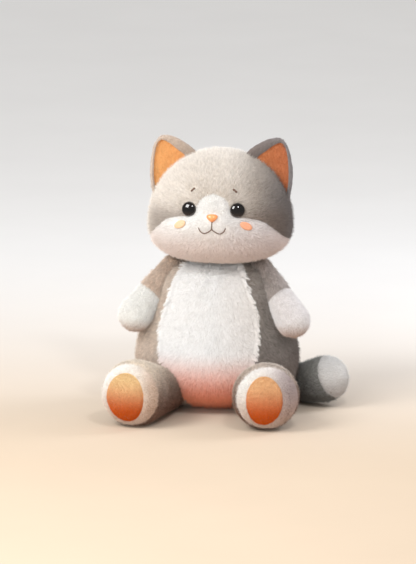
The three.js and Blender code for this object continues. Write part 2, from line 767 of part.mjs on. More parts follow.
function legPieces() {
  const joint = dollJoint(JOINTS.hip, LEG.discFace, LEG.bodyWall);
  const shell = shellOf(legForm(20, 6)).subtract(joint.hole);
  const seamHeight = LEG.hip.distanceTo(LEG.foot) + FOOT.bandSeam;
  const seam = beyond(new THREE.Vector3(0, 0, seamHeight), Z_AXIS);
  const foot = shell.intersect(seam.translate([0, 0, SEAM_GAP]));
  const [padX, padY] = FOOT.padHalf;
  const through = rod(1, seamHeight + SEAM_GAP / 2, seamHeight + 2 * FOOT.radius, 24);
  const oval = (shrink) => through.scale([padX - shrink, padY - shrink, 1]);
  const stuffing = solid(inset(legForm(10, 6), FABRIC + LOOSE)).subtract(joint.limbPocket);
  return [
    ["leg_cover", shell.subtract(seam), GREY, FABRIC_FINISH],
    ["foot_band", foot.subtract(oval(0)), WHITE, FABRIC_FINISH],
    ["foot_pad", foot.intersect(oval(SEAM_GAP)), ORANGE, FABRIC_FINISH],
    ["leg_stuffing", stuffing, FIBRE, FABRIC_FINISH],
    ["hip_disc", joint.disc, PLASTIC, PLASTIC_FINISH],
    ["hip_lock", joint.lock, PLASTIC, PLASTIC_FINISH],
  ];
}

function makeTail() {
  const tail = new THREE.Group();
  const shell = shellOf(tailForm(14, 7));
  const end = new THREE.Vector3(...TAIL_PATH[TAIL_PATH.length - 1]);
  const facing = TAIL.tipSeam.clone().normalize();
  const tipRoom = beyond(end.clone().addScaledVector(facing, SEAM_GAP), facing);
  tail.add(
    mesh("tail_cover", shell.subtract(beyond(end, facing)), GREY, FABRIC_FINISH),
    mesh("tail_tip", shell.intersect(tipRoom), WHITE, FABRIC_FINISH),
    mesh("tail_stuffing", solid(inset(tailForm(7, 7), FABRIC + LOOSE)), FIBRE, FABRIC_FINISH),
  );
  return tail;
}

const cat = new THREE.Group();
cat.name = "plush_cat";
const arms = makeLimbs(armFrame(), armPieces());
const legs = makeLimbs(legFrame(), legPieces());
cat.add(makeBody(), makeHead(), arms, legs, makeTail());
export default cat;
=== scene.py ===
"""The plush cat's looks: sewn panels over stuffed forms, with pile, embroidery, safety eyes and felt."""

import json
import math

import bmesh
import bpy
import numpy as np
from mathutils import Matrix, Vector
from mathutils.bvhtree import BVHTree
from mathutils.kdtree import KDTree


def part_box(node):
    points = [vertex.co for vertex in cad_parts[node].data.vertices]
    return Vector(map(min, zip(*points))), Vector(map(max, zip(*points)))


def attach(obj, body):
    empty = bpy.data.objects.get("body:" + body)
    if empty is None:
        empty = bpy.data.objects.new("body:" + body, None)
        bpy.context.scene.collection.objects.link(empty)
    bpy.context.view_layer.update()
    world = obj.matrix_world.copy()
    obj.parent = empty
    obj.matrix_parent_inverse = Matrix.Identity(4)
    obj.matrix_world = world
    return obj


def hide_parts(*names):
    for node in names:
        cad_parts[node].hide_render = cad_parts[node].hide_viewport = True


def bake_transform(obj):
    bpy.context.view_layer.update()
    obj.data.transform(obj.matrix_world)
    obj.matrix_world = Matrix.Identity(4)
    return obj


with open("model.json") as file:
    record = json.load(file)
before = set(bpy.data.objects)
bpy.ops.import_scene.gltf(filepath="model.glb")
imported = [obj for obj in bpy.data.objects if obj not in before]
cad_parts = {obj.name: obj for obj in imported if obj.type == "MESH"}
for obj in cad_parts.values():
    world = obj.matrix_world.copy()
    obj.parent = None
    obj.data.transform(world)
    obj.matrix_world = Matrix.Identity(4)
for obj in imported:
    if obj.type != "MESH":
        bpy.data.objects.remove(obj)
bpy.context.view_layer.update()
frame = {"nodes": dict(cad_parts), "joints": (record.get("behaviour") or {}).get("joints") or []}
JOINTS = {joint["name"]: joint for joint in frame["joints"]}

MM = 0.001
TINY, FAR = 1e-9, 1e3
SIDES = (("left", 1), ("right", -1))
MIRROR = np.array([-1, 1])
CURVE_SAMPLES = 24  # between two given points of a curve
NOISE = {"waves": 7, "spread": (0.7, 1.5), "scale": 3.2}
FINE = 2  # subdivision of the sewn forms
CLOTH_FRAMES = 20
CLOTH = {
    "quality": 5,
    "mass": 0.3,
    "tension_stiffness": 15,
    "compression_stiffness": 8,
    "bending_stiffness": 0.6,
    "vertex_group_mass": "seams",
    "use_pressure": True,
    "uniform_pressure_force": 4.0,
}
SEAM_HOLD = 0.9  # how firmly the seams hold still while the cloth swells
LUMPS = ((5.5, 0.6), (14, 0.4))  # the lumps of the pile: their sizes and their shares
BACK_SEAM = {"start": 10, "depth": 0.9}
FORM_GAP, PILE_GAP = 0.4, 0.1  # how far the sewn forms and their pile stay off the floor

# The pile: its hairs to the square millimetre, its lengths, and how the hairs lie and stray.
PILE_DENSITY = 2.2
PILE_LENGTH = {"crown": 4.4, "face": 2.8, "ear": 4.2, "lining": 1.3, "torso": 4.6, "belly": 4.6}
PILE_LENGTH |= {"sleeve": 4.0, "mitt": 3.0, "leg": 3.2, "left_band": 2.8, "right_band": 2.8}
PILE_LENGTH |= {"pad": 1.5, "tail": 4.2, "tip": 4.2}
HAIR = {"lay": 0.95, "lengths": (0.75, 1.15), "wander": 0.16, "swirl_size": 30, "droop": 0.45, "bend": 1.4}
HAIR |= {"sunk": 0.4, "taper": (1.0, 0.95, 0.7, 0.25)}
STRAYS = {"share": 0.14, "length": 1.5, "lean": 0.35}

# The head, in millimetres from the neck's joint plane.
HEAD = {"half_width": 91.5, "front": 0.86, "back": 0.8, "chin": 2.8}
HEAD |= {"lowest": 7, "widest": 53.6, "top": 147.5}
EYE = {"x": 31.3, "z": 83.3, "radius": 9.7, "height": 5.6, "forward": 0.5}
NOSE = {"z": 74, "half_width": 9, "half_height": 5.4, "height": 4.6}
BROW = {"x": 26.6, "z": 106.6, "length": 6.2, "tilt": 40, "width": 1.5, "lift": 2.4}
CHEEK = {"x": 42.6, "z": 63.5, "half": (8.6, 4.8), "tilt": 26}
MOUTH = {"half_width": 17, "dip": 9.4, "top": 70, "middle": 60.4, "low": 55, "end": 61.8}
MOUTH |= {"width": 0.8, "lift": 2.0}
STITCH = {"length": 2.6, "mouth_length": 2.2, "overlap": 0.62, "flatness": 0.8}
# Where the front of the head goes in, or out where the depth is below zero.
MUZZLE = {"place": (0, 62), "spread": (24, 15), "depth": -4.0}
EYE_SOCKET = {"place": (EYE["x"], EYE["z"]), "spread": (12, 10), "depth": 2.6}
JOWL = {"place": (52, 52), "spread": (24, 20), "depth": -2.0}
FRONT_FADE = 40  # from the middle plane forwards
# The white of the face, seen from the front, from the top of the blaze down, and where it ends at the sides.
FACE_EDGE = [(0, 103), (13, 98), (19.5, 89), (23, 77.5), (32, 74), (44, 72.6)]
FACE_EDGE += [(60, 67.5), (72, 57), (84, 43), (96, 22)]
FACE_CORNER = np.array([104, -20])
FACE_SIDE_SEAM = 8
# The pile stops round the features: how far off each, and over what distance its length comes back.
CLEAR = {"eye": -0.6, "brow": 1.2, "mouth": 1.0, "nose": 0.95, "oval": 6, "face": 3, "crown": 2.5}

# The body, as (half width, height), and its white front seen from the front.
BODY = [(0, 0), (34, 0), (50, 1.2), (84, 13), (99, 36), (103.5, 66), (98.5, 94)]
BODY += [(89, 127), (79.5, 156), (63.5, 178), (36, 187.5), (0, 188)]
BODY_DEPTH = {"front": 0.82, "back": 0.76, "bulge": 0.08, "bulge_z": 58, "bulge_reach": 40}
BODY_TUCK = {"start": 15, "reach": 45, "height": 50, "rise": 11}  # lifts the belly's lower edge
BELLY_EDGE = [(27, 12), (38, 33), (53, 56), (61, 84), (61.5, 112), (54, 146), (43, 174), (32, 190)]
BELLY_ENDS = {"top": (20, 200), "bottom": (24, -10)}
BELLY_LEAN = 2.5  # how far the belly panel sits towards the cat's right
BELLY_SIDE_SEAM = -10
FRINGE = {"length": 8.5, "density": 1.2, "pull": 0.55, "tuft": 24, "width": 4, "front": -20, "lowest": 30}

ARM = {
    "start": (57.5, -7, 184.5),
    "end": {"left": (104.5, -44, 122.5), "right": (101, -44, 124.5)},
    "outwards": (0.83, 0, 0.56),
    "root": 11,
    "tip": 20.8,
    "mitt": 47,
    "seam_tilt": (-0.12, 0.05),
}
LEG = {
    "start": (58, -49, 28),
    "foot": {"left": (82.5, -141, 43), "right": (88.5, -141, 42)},
    "outwards": (1, 0.25, 0),
    "root": 24,
    "foot_radius": 41,
    "sole": 0.86,
    "band": 8.5,
    "band_tilt": 0.1,
    "pad": {"left": (23, 31), "right": (26, 31)},
    "pad_shift": {"left": -5.5, "right": 0},
    "pad_drop": 4,
}
TAIL = {
    "path": [(66, 62, 22), (96, 40, 23), (120, 17, 29), (141, 4, 36)],
    "root": 14,
    "tip": 27.5,
    "facing": (0.88, -0.25, 0.4),
    "seam": 5,
    "seam_curve": 0.0035,
}
EAR = {
    "outline": [(24, 125), (35, 146), (50.5, 157.5), (65, 164), (78.5, 164)]
    + [(88, 150), (93, 122), (91, 96), (84, 74), (56, 92)],
    "lining": [(44, 112), (47, 136), (58, 146), (69, 154.5), (79, 158)]
    + [(85, 147), (87.5, 122), (86, 98), (78, 82), (60, 92)],
    "centre": (67, 118),
    "rim": 0.76,
    "y": 8,
    "front": 7,
    "back": 12,
    "recess": 6,
    "lining_depth": 2,
    "thinning": 0.5,
    "thinning_heights": (100, 162),
    "fold": (0.694, 0, 0.72),
    "fold_reach": 12,
}
# How far the fibre inside each cover stays from it.
INSET = {"head": 5, "body": 11, "arm": 5, "leg": 11.5, "tail": 5}

# The camera: its angles, its distance, how much it sees across, and its aim right and up of the origin.
CAMERA = {"azimuth": 8, "elevation": 12, "distance": 12000, "width": 540.8, "aim": (-12.35, 157.3)}
SENSOR = 36
# The lights: place, size, power, colour, and whether the shiny eyes and nose show it.
LIGHTS = {
    "key": ((-950, -1000, 1300), 850, 20.5, (1.0, 0.99, 0.968), True),
    "front": ((-250, -1900, 700), 700, 11, (1.0, 0.99, 0.975), False),
    "rim": ((1100, 500, 900), 500, 8, (0.85, 0.9, 1.0), False),
    "spark": ((430, -900, 1200), 150, 4, (1.0, 1.0, 1.0), True),
}
LIGHT_TARGET = (0, 0, 160)
FLOOR = {"reach": 20000, "near": (208, 189, 167), "far": (250, 248, 246), "fade": (-0.4, 1.0)}
WALLS = {"colour": (240, 240, 240), "strength": 0.76, "mirrored": 0.2}


def joint_place(name):
    return np.array(JOINTS[name]["pos_m"]) / MM


NECK = joint_place("neck_turn")


# Numbers and curves.


def unit(v):
    return v / np.maximum(np.linalg.norm(v, axis=-1, keepdims=True), TINY)


def spline(points, count, closed=False):
    """Points evenly spaced along a smooth curve through the given ones."""
    given = np.array(points, float)
    if closed:
        padded = np.vstack([given[-1:], given, given[:2]])
    else:
        padded = np.vstack([2 * given[0] - given[1], given, 2 * given[-1] - given[-2]])
    t = np.linspace(0, 1, CURVE_SAMPLES, endpoint=False)[:, None]
    pieces = []
    for a, b, c, d in zip(padded, padded[1:], padded[2:], padded[3:]):
        square, cube = 2 * a - 5 * b + 4 * c - d, 3 * b - a - 3 * c + d
        pieces.append(0.5 * (2 * b + (c - a) * t + square * t**2 + cube * t**3))
    pieces.append(padded[-2][None])
    return evenly(np.vstack(pieces), count)


def evenly(line, count):
    steps = np.linalg.norm(np.diff(line, axis=0), axis=1)
    along = np.concatenate([[0], np.cumsum(steps)])
    wanted = np.linspace(0, along[-1], count)
    return np.stack([np.interp(wanted, along, line[:, k]) for k in range(line.shape[1])], axis=1)


def inside_distance(points, outline):
    """How far each 2-D point is outside a closed outline: negative inside it."""
    best, inside = np.full(len(points), np.inf), np.zeros(len(points), bool)
    for p, q in zip(outline, np.roll(outline, -1, axis=0)):
        edge = q - p
        t = np.clip(((points - p) @ edge) / max(edge @ edge, TINY), 0, 1)
        best = np.minimum(best, np.linalg.norm(points - p - t[:, None] * edge, axis=1))
        spans = (p[1] > points[:, 1]) != (q[1] > points[:, 1])
        x = p[0] + (points[:, 1] - p[1]) * edge[0] / (edge[1] or TINY)
        inside ^= spans & (points[:, 0] < x)
    return np.where(inside, -best, best)


def smooth_noise(points, size, seed):
    """Gentle 3-D noise, about -1 to 1, with features of about the given size."""
    rng = np.random.default_rng(seed)
    total = np.zeros(len(points))
    for _ in range(NOISE["waves"]):
        direction = unit(rng.normal(size=3))
        wave = rng.uniform(*NOISE["spread"]) * 2 * math.pi / size
        total += np.sin(points @ direction * wave + rng.uniform(0, 2 * math.pi))
    return total / NOISE["scale"]


# Meshes: a form is (points in millimetres, faces).


def turned(profile, around):
    """A closed form turned about z from (radius, height) rows, the first and last of which are its poles."""
    angle = np.arange(around) * 2 * math.pi / around
    circle = np.stack([np.cos(angle), np.sin(angle)], axis=1)
    rows = [np.column_stack([r * circle, np.full(around, z)]) for r, z in profile[1:-1]]
    points = np.vstack([[[0, 0, profile[0][1]]], *rows, [[0, 0, profile[-1][1]]]])
    last = len(points) - 1
    top = 1 + (len(rows) - 1) * around
    faces = []
    for k in range(around):
        nxt = (k + 1) % around
        faces.append((0, 1 + nxt, 1 + k))
        for low in range(1, top, around):
            high = low + around
            faces.append((low + k, low + nxt, high + nxt, high + k))
        faces.append((top + k, top + nxt, last))
    return points, faces


def linked(name, data):
    made = bpy.data.objects.new(name, data)
    bpy.context.scene.collection.objects.link(made)
    return made


def new_object(name, points, faces):
    mesh = bpy.data.meshes.new(name)
    mesh.from_pydata((np.asarray(points) * MM).tolist(), [], [tuple(int(i) for i in face) for face in faces])
    mesh.update()
    return linked(name, mesh)


def read_points(mesh):
    flat = np.zeros(len(mesh.vertices) * 3, np.float32)
    mesh.vertices.foreach_get("co", flat)
    return flat.reshape(-1, 3).astype(float) / MM


def vertex_normals(points, triangles):
    corners = points[triangles]
    face = np.cross(corners[:, 1] - corners[:, 0], corners[:, 2] - corners[:, 0])
    normals = np.zeros_like(points)
    for k in range(3):
        np.add.at(normals, triangles[:, k], face)
    return unit(normals)


def stuffed(form, pinned, limit=4.0):
    """Cloth simulation: the form swells under pressure while its seams hold. No point moves past limit."""
    points, faces = form
    cover = new_object("stuffing_run", points, faces)
    group = cover.vertex_groups.new(name=CLOTH["vertex_group_mass"])
    for index in np.nonzero(pinned > 0)[0]:
        group.add([int(index)], float(pinned[index]), "REPLACE")
    cloth = cover.modifiers.new("cloth", "CLOTH")
    for setting, value in CLOTH.items():
        setattr(cloth.settings, setting, value)
    cloth.settings.effector_weights.gravity = 0
    cloth.collision_settings.use_collision = False
    cloth.point_cache.frame_start = 1
    cloth.point_cache.frame_end = CLOTH_FRAMES
    scene = bpy.context.scene
    for step in range(1, CLOTH_FRAMES + 1):
        scene.frame_set(step)
    evaluated = cover.evaluated_get(bpy.context.evaluated_depsgraph_get())
    moved = read_points(evaluated.data) - points
    bpy.data.objects.remove(cover)
    scene.frame_set(1)
    length = np.linalg.norm(moved, axis=1, keepdims=True)
    eased = limit * np.tanh(length / limit)
    return points + moved * eased / np.maximum(length, TINY), faces


def held(field, width=3, strength=SEAM_HOLD):
    """What the cloth simulation pins: the points within width of field = 0."""
    return np.where(np.abs(field) < width, strength, 0.0)


def subdivided(form, levels):
    """The form smoothed by subdivision, as (points, triangles)."""
    made = new_object("subdivision_run", *form)
    made.modifiers.new("smooth", "SUBSURF").levels = levels
    evaluated = made.evaluated_get(bpy.context.evaluated_depsgraph_get())
    fine = bpy.data.meshes.new_from_object(evaluated)
    cut = bmesh.new()
    cut.from_mesh(fine)
    bmesh.ops.triangulate(cut, faces=cut.faces)
    cut.to_mesh(fine)
    cut.free()
    points = read_points(fine)
    flat = np.zeros(len(fine.polygons) * 3, np.int32)
    fine.polygons.foreach_get("vertices", flat)
    bpy.data.objects.remove(made)
    bpy.data.meshes.remove(fine)
    return points, flat.reshape(-1, 3)


def split(points, triangles, field):
    """Cuts a surface along field = 0. Returns the sides below and above zero, each (points, triangles)."""
    field = np.where(np.abs(field) < 1e-6, 1e-6, field)
    below = field[triangles] < 0
    count = below.sum(axis=1)
    sides = {True: [triangles[count == 3]], False: [triangles[count == 0]]}
    extra, known = [], {}

    def crossing(a, b):
        key = (min(a, b), max(a, b))
        if key not in known:
            t = field[key[0]] / (field[key[0]] - field[key[1]])
            known[key] = len(points) + len(extra)
            extra.append(points[key[0]] + t * (points[key[1]] - points[key[0]]))
        return known[key]

    for triangle in triangles[(count == 1) | (count == 2)]:
        signs = field[triangle] < 0
        lone = int(np.argmax(signs)) if signs.sum() == 1 else int(np.argmin(signs))
        a, b, c = triangle[lone], triangle[(lone + 1) % 3], triangle[(lone + 2) % 3]
        ab, ca = crossing(a, b), crossing(c, a)
        side = bool(field[a] < 0)
        sides[side].append(np.array([[a, ab, ca]]))
        sides[not side].append(np.array([[ab, b, c], [ab, c, ca]]))
    everything = np.vstack([points, np.array(extra).reshape(-1, 3)])
    return tuple(compact(everything, np.vstack(sides[key])) for key in (True, False))


def compact(points, triangles):
    used, renumbered = np.unique(triangles, return_inverse=True)
    return points[used], renumbered.reshape(-1, 3)


def eased_normals(points, triangles, rounds=6):
    """Normals averaged over their surroundings, which the small lumps don't turn."""
    normals = vertex_normals(points, triangles)
    for _ in range(rounds):
        face = normals[triangles].sum(axis=1)
        for k in range(3):
            np.add.at(normals, triangles[:, k], face)
        normals = unit(normals)
    return normals


def seam_groove(points, triangles, field, depth=1.6, width=2.6):
    """Draws the surface in along field = 0, as a sewn seam does."""
    normals = vertex_normals(points, triangles)
    return points - normals * (depth * np.exp(-((field / width) ** 2)))[:, None]


def back_seam(points):
    """The seam down the middle of the back."""
    return np.where(points[:, 1] > BACK_SEAM["start"], points[:, 0], FAR)


def piled(points, triangles, depth, seed):
    """The surface with the small lumps of its pile."""
    normals = vertex_normals(points, triangles)
    lumps = sum(share * smooth_noise(points, size, seed + k) for k, (size, share) in enumerate(LUMPS))
    return points + normals * (depth * lumps)[:, None]


def sewn(form, seams, lumps, seed):
    """The fine surface of a form: its seams, each (field, depth), drawn in, then the lumps of its pile."""
    points, triangles = subdivided(form, FINE)
    for field, depth in seams:
        points = seam_groove(points, triangles, field(points), depth)
    return piled(points, triangles, lumps, seed), triangles


def raised(points, gap):
    """Lifts the lowest points off the floor."""
    points[:, 2] = np.maximum(points[:, 2], gap)


# Materials.


def srgb(*channels):
    linear = [c / 255 / 12.92 if c <= 10 else ((c / 255 + 0.055) / 1.055) ** 2.4 for c in channels]
    return (*linear, 1.0)


class Nodes:
    """A material's node tree, with short ways to add to it."""

    def __init__(self, name, roughness, specular=0.3):
        self.material = bpy.data.materials.new(name)
        self.material.use_nodes = True
        self.tree = self.material.node_tree
        self.shader = self.tree.nodes["Principled BSDF"]
        self.shader.inputs["Roughness"].default_value = roughness
        self.shader.inputs["Specular IOR Level"].default_value = specular
        self.coords = self.add("ShaderNodeTexCoord").outputs["Object"]

    def add(self, kind, **inputs):
        node = self.tree.nodes.new(kind)
        for name, value in inputs.items():
            self.feed(node.inputs[name.replace("_", " ")], value)
        return node

    def feed(self, socket, value):
        if isinstance(value, bpy.types.NodeSocket):
            self.tree.links.new(value, socket)
        else:
            socket.default_value = value

    def noise(self, scale, detail=3.0, stretch=None):
        coords = self.coords
        if stretch:
            mapping = self.add("ShaderNodeMapping", Vector=coords, Scale=stretch)
            coords = mapping.outputs["Vector"]
        return self.add("ShaderNodeTexNoise", Vector=coords, Scale=scale, Detail=detail).outputs["Fac"]

    def span(self, value, low, high, to_low=0.0, to_high=1.0):
        """Eases from to_low to to_high as value goes from low to high."""
        ends = {"From_Min": low, "From_Max": high, "To_Min": to_low, "To_Max": to_high}
        node = self.add("ShaderNodeMapRange", Value=value, **ends)
        node.interpolation_type = "SMOOTHSTEP"
        return node.outputs["Result"]

    def axis(self, name):
        return self.add("ShaderNodeSeparateXYZ", Vector=self.coords).outputs[name]

    def mix(self, factor, a, b, blend="MIX"):
        node = self.add("ShaderNodeMix")
        node.data_type = "RGBA"
        node.blend_type = blend
        colour_sockets = [s for s in node.inputs if s.type == "RGBA"]
        self.feed(node.inputs[0], factor)
        self.feed(colour_sockets[0], a)
        self.feed(colour_sockets[1], b)
        return next(s for s in node.outputs if s.type == "RGBA")

    def times(self, a, b):
        return self.mix(1.0, a, b, "MULTIPLY")

    def ramp(self, value, *stops):
        """A colour for value, from stops of (place, colour)."""
        node = self.add("ShaderNodeValToRGB", Fac=value)
        elements = node.color_ramp.elements
        while len(elements) < len(stops):
            elements.new(0.5)
        for element, (place, colour) in zip(elements, stops):
            element.position = place
            element.color = colour
        return node.outputs["Color"]

    def two_tone(self, value, first, second, low=0.3, high=0.7):
        return self.ramp(value, (low, srgb(*first)), (high, srgb(*second)))

    def shade(self, value, dark, low=0.3, high=0.7):
        """A tint that deepens a colour by dark up to low, and leaves it alone from high."""
        return self.ramp(value, (low, (*dark, 1)), (high, (1, 1, 1, 1)))

    def colour(self, value):
        self.feed(self.shader.inputs["Base Color"], value)

    def bump(self, height, strength, distance=0.001):
        node = self.add("ShaderNodeBump", Height=height, Strength=strength, Distance=distance)
        self.feed(self.shader.inputs["Normal"], node.outputs["Normal"])

    def finish(self, **amounts):
        """Sets what else the shader has, such as its coat or sheen, and returns the material."""
        for name, amount in amounts.items():
            self.shader.inputs[name.replace("_", " ")].default_value = amount
        return self.material


# Each plush, its light and shade painted in: its colours at the cat's right in painted light, in the middle,
# and at its left in painted shade, the X where they start and end, the warm painted shade it takes lower
# down, how much of it, and the heights between which it takes it.
WIDE, BELLY_HEIGHTS = (-0.11, 0.12), (0.088, 0.014)
PLUSH = {
    # The crown's lower colour is painted shade, darkening the grey down to the cheek line round the white of
    # the face.
    "crown": [
        (238, 232, 225), (194, 185, 177), (124, 118, 117), (0.01, 0.105),
        (126, 106, 94), 0.5, (0.282, 0.252),
    ],
    "ear": [(222, 208, 196), (146, 130, 118), (152, 148, 150), WIDE, (150, 120, 104), 0.0, (0.1, 0.0)],
    "torso": [(230, 216, 203), (206, 195, 185), (148, 142, 138), WIDE, (146, 116, 100), 0.4, (0.105, 0.012)],
    "sleeve": [(230, 214, 200), (214, 202, 193), (198, 190, 187), WIDE, (150, 120, 104), 0.0, (0.1, 0.0)],
    # The leg's brown lower colour is a painted shadow near the floor.
    "leg": [(250, 242, 231), (238, 229, 219), (232, 223, 216), WIDE, (144, 98, 74), 0.86, (0.084, 0.018)],
    "tail": [(186, 186, 182), (186, 186, 182), (178, 178, 175), WIDE, (100, 94, 90), 0.4, (0.05, 0.01)],
    # The face's lower colour is painted shade on the muzzle and chin.
    "face": [(252, 253, 253), (244, 244, 243), (226, 221, 222), WIDE, (224, 201, 192), 0.62, (0.262, 0.206)],
    # The mitt's brownish lower colour is painted shade.
    "mitt": [(246, 246, 244), (246, 246, 245), (240, 237, 237), WIDE, (196, 154, 126), 0.78, (0.124, 0.094)],
    # Each foot band runs from painted light to painted shade where its ring turns away from the light.
    "left_band": [
        (243, 242, 240), (238, 234, 232), (192, 178, 177), (0.055, 0.125),
        (206, 170, 144), 0.6, (0.062, 0.006),
    ],
    "right_band": [
        (246, 244, 241), (241, 233, 225), (218, 198, 182), (-0.1, -0.05),
        (206, 170, 144), 0.6, (0.062, 0.006),
    ],
    "tip": [(246, 246, 246), (246, 246, 246), (240, 239, 238), WIDE, (188, 176, 172), 0.45, (0.05, 0.01)],
    # The belly's coral lower colour is painted warm shade, as of light bounced off the floor into its
    # shadow.
    "belly": [(254, 254, 254), (254, 254, 254), (244, 239, 235), WIDE, (255, 166, 130), 0.98, BELLY_HEIGHTS],
    # The pad's dark orange lower colour is painted shade.
    "pad": [(232, 204, 156), (232, 196, 150), (230, 188, 142), WIDE, (208, 98, 36), 1.0, (0.068, 0.02)],
    "lining": [(232, 174, 110), (222, 148, 90), (182, 106, 68), WIDE, (226, 150, 90), 0.0, (0.1, 0.0)],
}
# The crown's painted shade lower down falls only at its front.
CROWN_FRONT = (0.0, -0.05)  # the Y over which the crown takes its lower colour: its back stays plain
# How dark and how light the tufts of a plush get. The white ones vary less.
TUFT_SHADES = dict.fromkeys(("ear", "torso", "sleeve", "leg", "tail"), (0.8, 1.1)) | {"crown": (0.86, 1.06)}
WHITE_TUFTS = (0.94, 1.04)
# The base is as dark as the pile looks from outside, where the hairs shade each other.
BASE_GAMMA = {"ear": 1.35, "pad": 1.05, "lining": 1.0}
LONG_PILE_GAMMA = 1.65
BASE_TINT = (0.93, 0.93, 0.93, 1)
SLOTS = dict.fromkeys(PLUSH, "grey_plush") | {"pad": "orange_plush", "lining": "orange_plush"}
SLOTS |= dict.fromkeys(("face", "belly", "mitt", "left_band", "right_band", "tip"), "white_plush")


def plush_colour(nodes, kind):
    lit, middle, far, reach, lower, share, heights = PLUSH[kind]
    # Painted light and shade across the cat: the lit colour towards the light, the far colour in shade.
    across = nodes.span(nodes.axis("X"), *reach)
    base = nodes.ramp(across, (0, srgb(*lit)), (0.5, srgb(*middle)), (1, srgb(*far)))
    # Painted shade lower down, warmed as by light bounced off the floor.
    low = nodes.span(nodes.axis("Z"), *heights, 0, share)
    # On the crown the painted shade lower down stays at the front.
    if kind == "crown":
        front = nodes.span(nodes.axis("Y"), *CROWN_FRONT)
        node = nodes.add("ShaderNodeMath")
        node.operation = "MULTIPLY"
        nodes.feed(node.inputs[0], low)
        nodes.feed(node.inputs[1], front)
        low = node.outputs["Value"]
    return nodes.mix(low, base, srgb(*lower))


def backing_material(kind):
    """The base of the pile: matted fibre with clumps and shade between them."""
    nodes = Nodes(f"{kind}_plush", 0.95, 0.1)
    gamma = BASE_GAMMA.get(kind, LONG_PILE_GAMMA)
    base = nodes.add("ShaderNodeGamma", Color=plush_colour(nodes, kind), Gamma=gamma).outputs["Color"]
    base = nodes.times(base, BASE_TINT)
    clumps = nodes.noise(330, 4, (1, 1, 0.45))
    fibre = nodes.noise(1500, 3, (1, 1, 0.3))
    between_clumps = nodes.shade(clumps, (0.88, 0.87, 0.86), high=0.62)
    between_fibres = nodes.shade(fibre, (0.92, 0.91, 0.9), high=0.6)
    nodes.colour(nodes.times(nodes.times(base, between_clumps), between_fibres))
    nodes.bump(nodes.mix(0.4, clumps, fibre), 0.7, 0.0012)
    return nodes.finish(Sheen_Weight=0.35, Sheen_Roughness=0.6)


def pile_material(kind):
    """Hairs paler at the tip and darker towards the root, a painted shade, with tufts a little lighter or
    darker than the next.
    """
    nodes = Nodes(f"{kind}_pile", 0.9, 0.05)
    hair_info = nodes.add("ShaderNodeHairInfo")
    base = plush_colour(nodes, kind)
    # Painted shade: each hair darker towards its root.
    root_shade = nodes.shade(hair_info.outputs["Intercept"], (0.93, 0.92, 0.91), low=0)
    tuft = nodes.add("ShaderNodeAttribute")
    tuft.attribute_name = "tuft"
    dark, light = TUFT_SHADES.get(kind, WHITE_TUFTS)
    each = nodes.ramp(tuft.outputs["Fac"], (0, (dark, dark, dark, 1)), (1, (light, light, light, 1)))
    nodes.colour(nodes.times(nodes.times(base, root_shade), each))
    return nodes.finish()


def felt_material():
    nodes = Nodes("peach_felt", 0.95, 0.1)
    fibres = nodes.noise(900, 5)
    mottle = nodes.noise(250, 2)
    # Both cheeks are one peach felt: the one at the cat's right paler and yellower in painted light, the one
    # at its left deeper salmon in painted shade.
    across = nodes.span(nodes.axis("X"), -0.05, 0.05)
    base = nodes.two_tone(across, (222, 192, 158), (216, 148, 118), 0, 1)
    base = nodes.times(base, nodes.shade(mottle, (0.94, 0.93, 0.92)))
    nodes.colour(nodes.mix(0.25, base, nodes.two_tone(fibres, (226, 160, 116), (252, 224, 194), 0.35, 0.65)))
    nodes.bump(fibres, 0.6, 0.0006)
    return nodes.finish()


def eye_material():
    """Black moulded plastic, faintly brown towards its lower edge, a painted reflection of the floor."""
    nodes = Nodes("eye_plastic", 0.1, 0.3)
    grain = nodes.noise(60, 2)
    # Painted reflection: the floor's warm light in the lower part of the eye.
    low = nodes.span(nodes.axis("Z"), 0.271, 0.259)
    base = nodes.mix(low, srgb(14, 12, 11), srgb(62, 50, 42))
    nodes.colour(nodes.mix(0.15, base, nodes.two_tone(grain, (10, 8, 8), (48, 40, 34))))
    nodes.bump(nodes.noise(400, 1), 0.02, 0.0002)
    return nodes.finish(Coat_Weight=1.0, Coat_IOR=1.7, Coat_Roughness=0.07)


def grained(name, roughness, specular, grain, colours, strength, depth, relief=None, high=0.7, **more):
    """A material mottled in two colours by its grain, which is also its relief unless relief is given."""
    nodes = Nodes(name, roughness, specular)
    mottle = nodes.noise(*grain)
    nodes.colour(nodes.two_tone(mottle, *colours, high=high))
    nodes.bump(nodes.noise(*relief) if relief else mottle, strength, depth)
    return nodes.finish(**more)


def thread_material():
    colours = ((84, 64, 54), (122, 98, 84))
    return grained("brown_thread", 0.6, 0.3, (1800, 2, (1, 0.4, 1)), colours, 0.5, 0.0004)


def nose_material():
    colours, coat = ((226, 138, 84), (240, 164, 108)), {"Coat_Weight": 0.6, "Coat_Roughness": 0.12}
    return grained("nose_plastic", 0.25, 0.5, (220, 3), colours, 0.06, 0.0003, (900, 2), **coat)


def moulded_material():
    """Pale injection-moulded plastic of the hidden joints and locks."""
    colours = ((214, 212, 204), (232, 230, 222))
    return grained("joint_plastic", 0.45, 0.4, (70, 3, (1, 1, 3)), colours, 0.15, 0.0003, (1200, 2))


def fibre_material():
    colours = ((216, 213, 206), (248, 246, 241))
    return grained("fibre_stuffing", 1.0, 0.05, (420, 6), colours, 0.9, 0.002, high=0.65)


def linen_material():
    """A plain weave: two sets of threads crossing."""
    nodes = Nodes("linen_pouch", 0.9, 0.1)
    threads = []
    for direction in ("X", "Y"):
        wave = nodes.add("ShaderNodeTexWave", Vector=nodes.coords, Scale=700.0, Distortion=0.6)
        wave.bands_direction = direction
        threads.append(wave.outputs["Fac"])
    weave = nodes.mix(0.5, *threads)
    nodes.colour(nodes.two_tone(weave, (176, 160, 132), (214, 202, 178), 0.2, 0.8))
    nodes.bump(weave, 0.5, 0.0006)
    return nodes.finish()


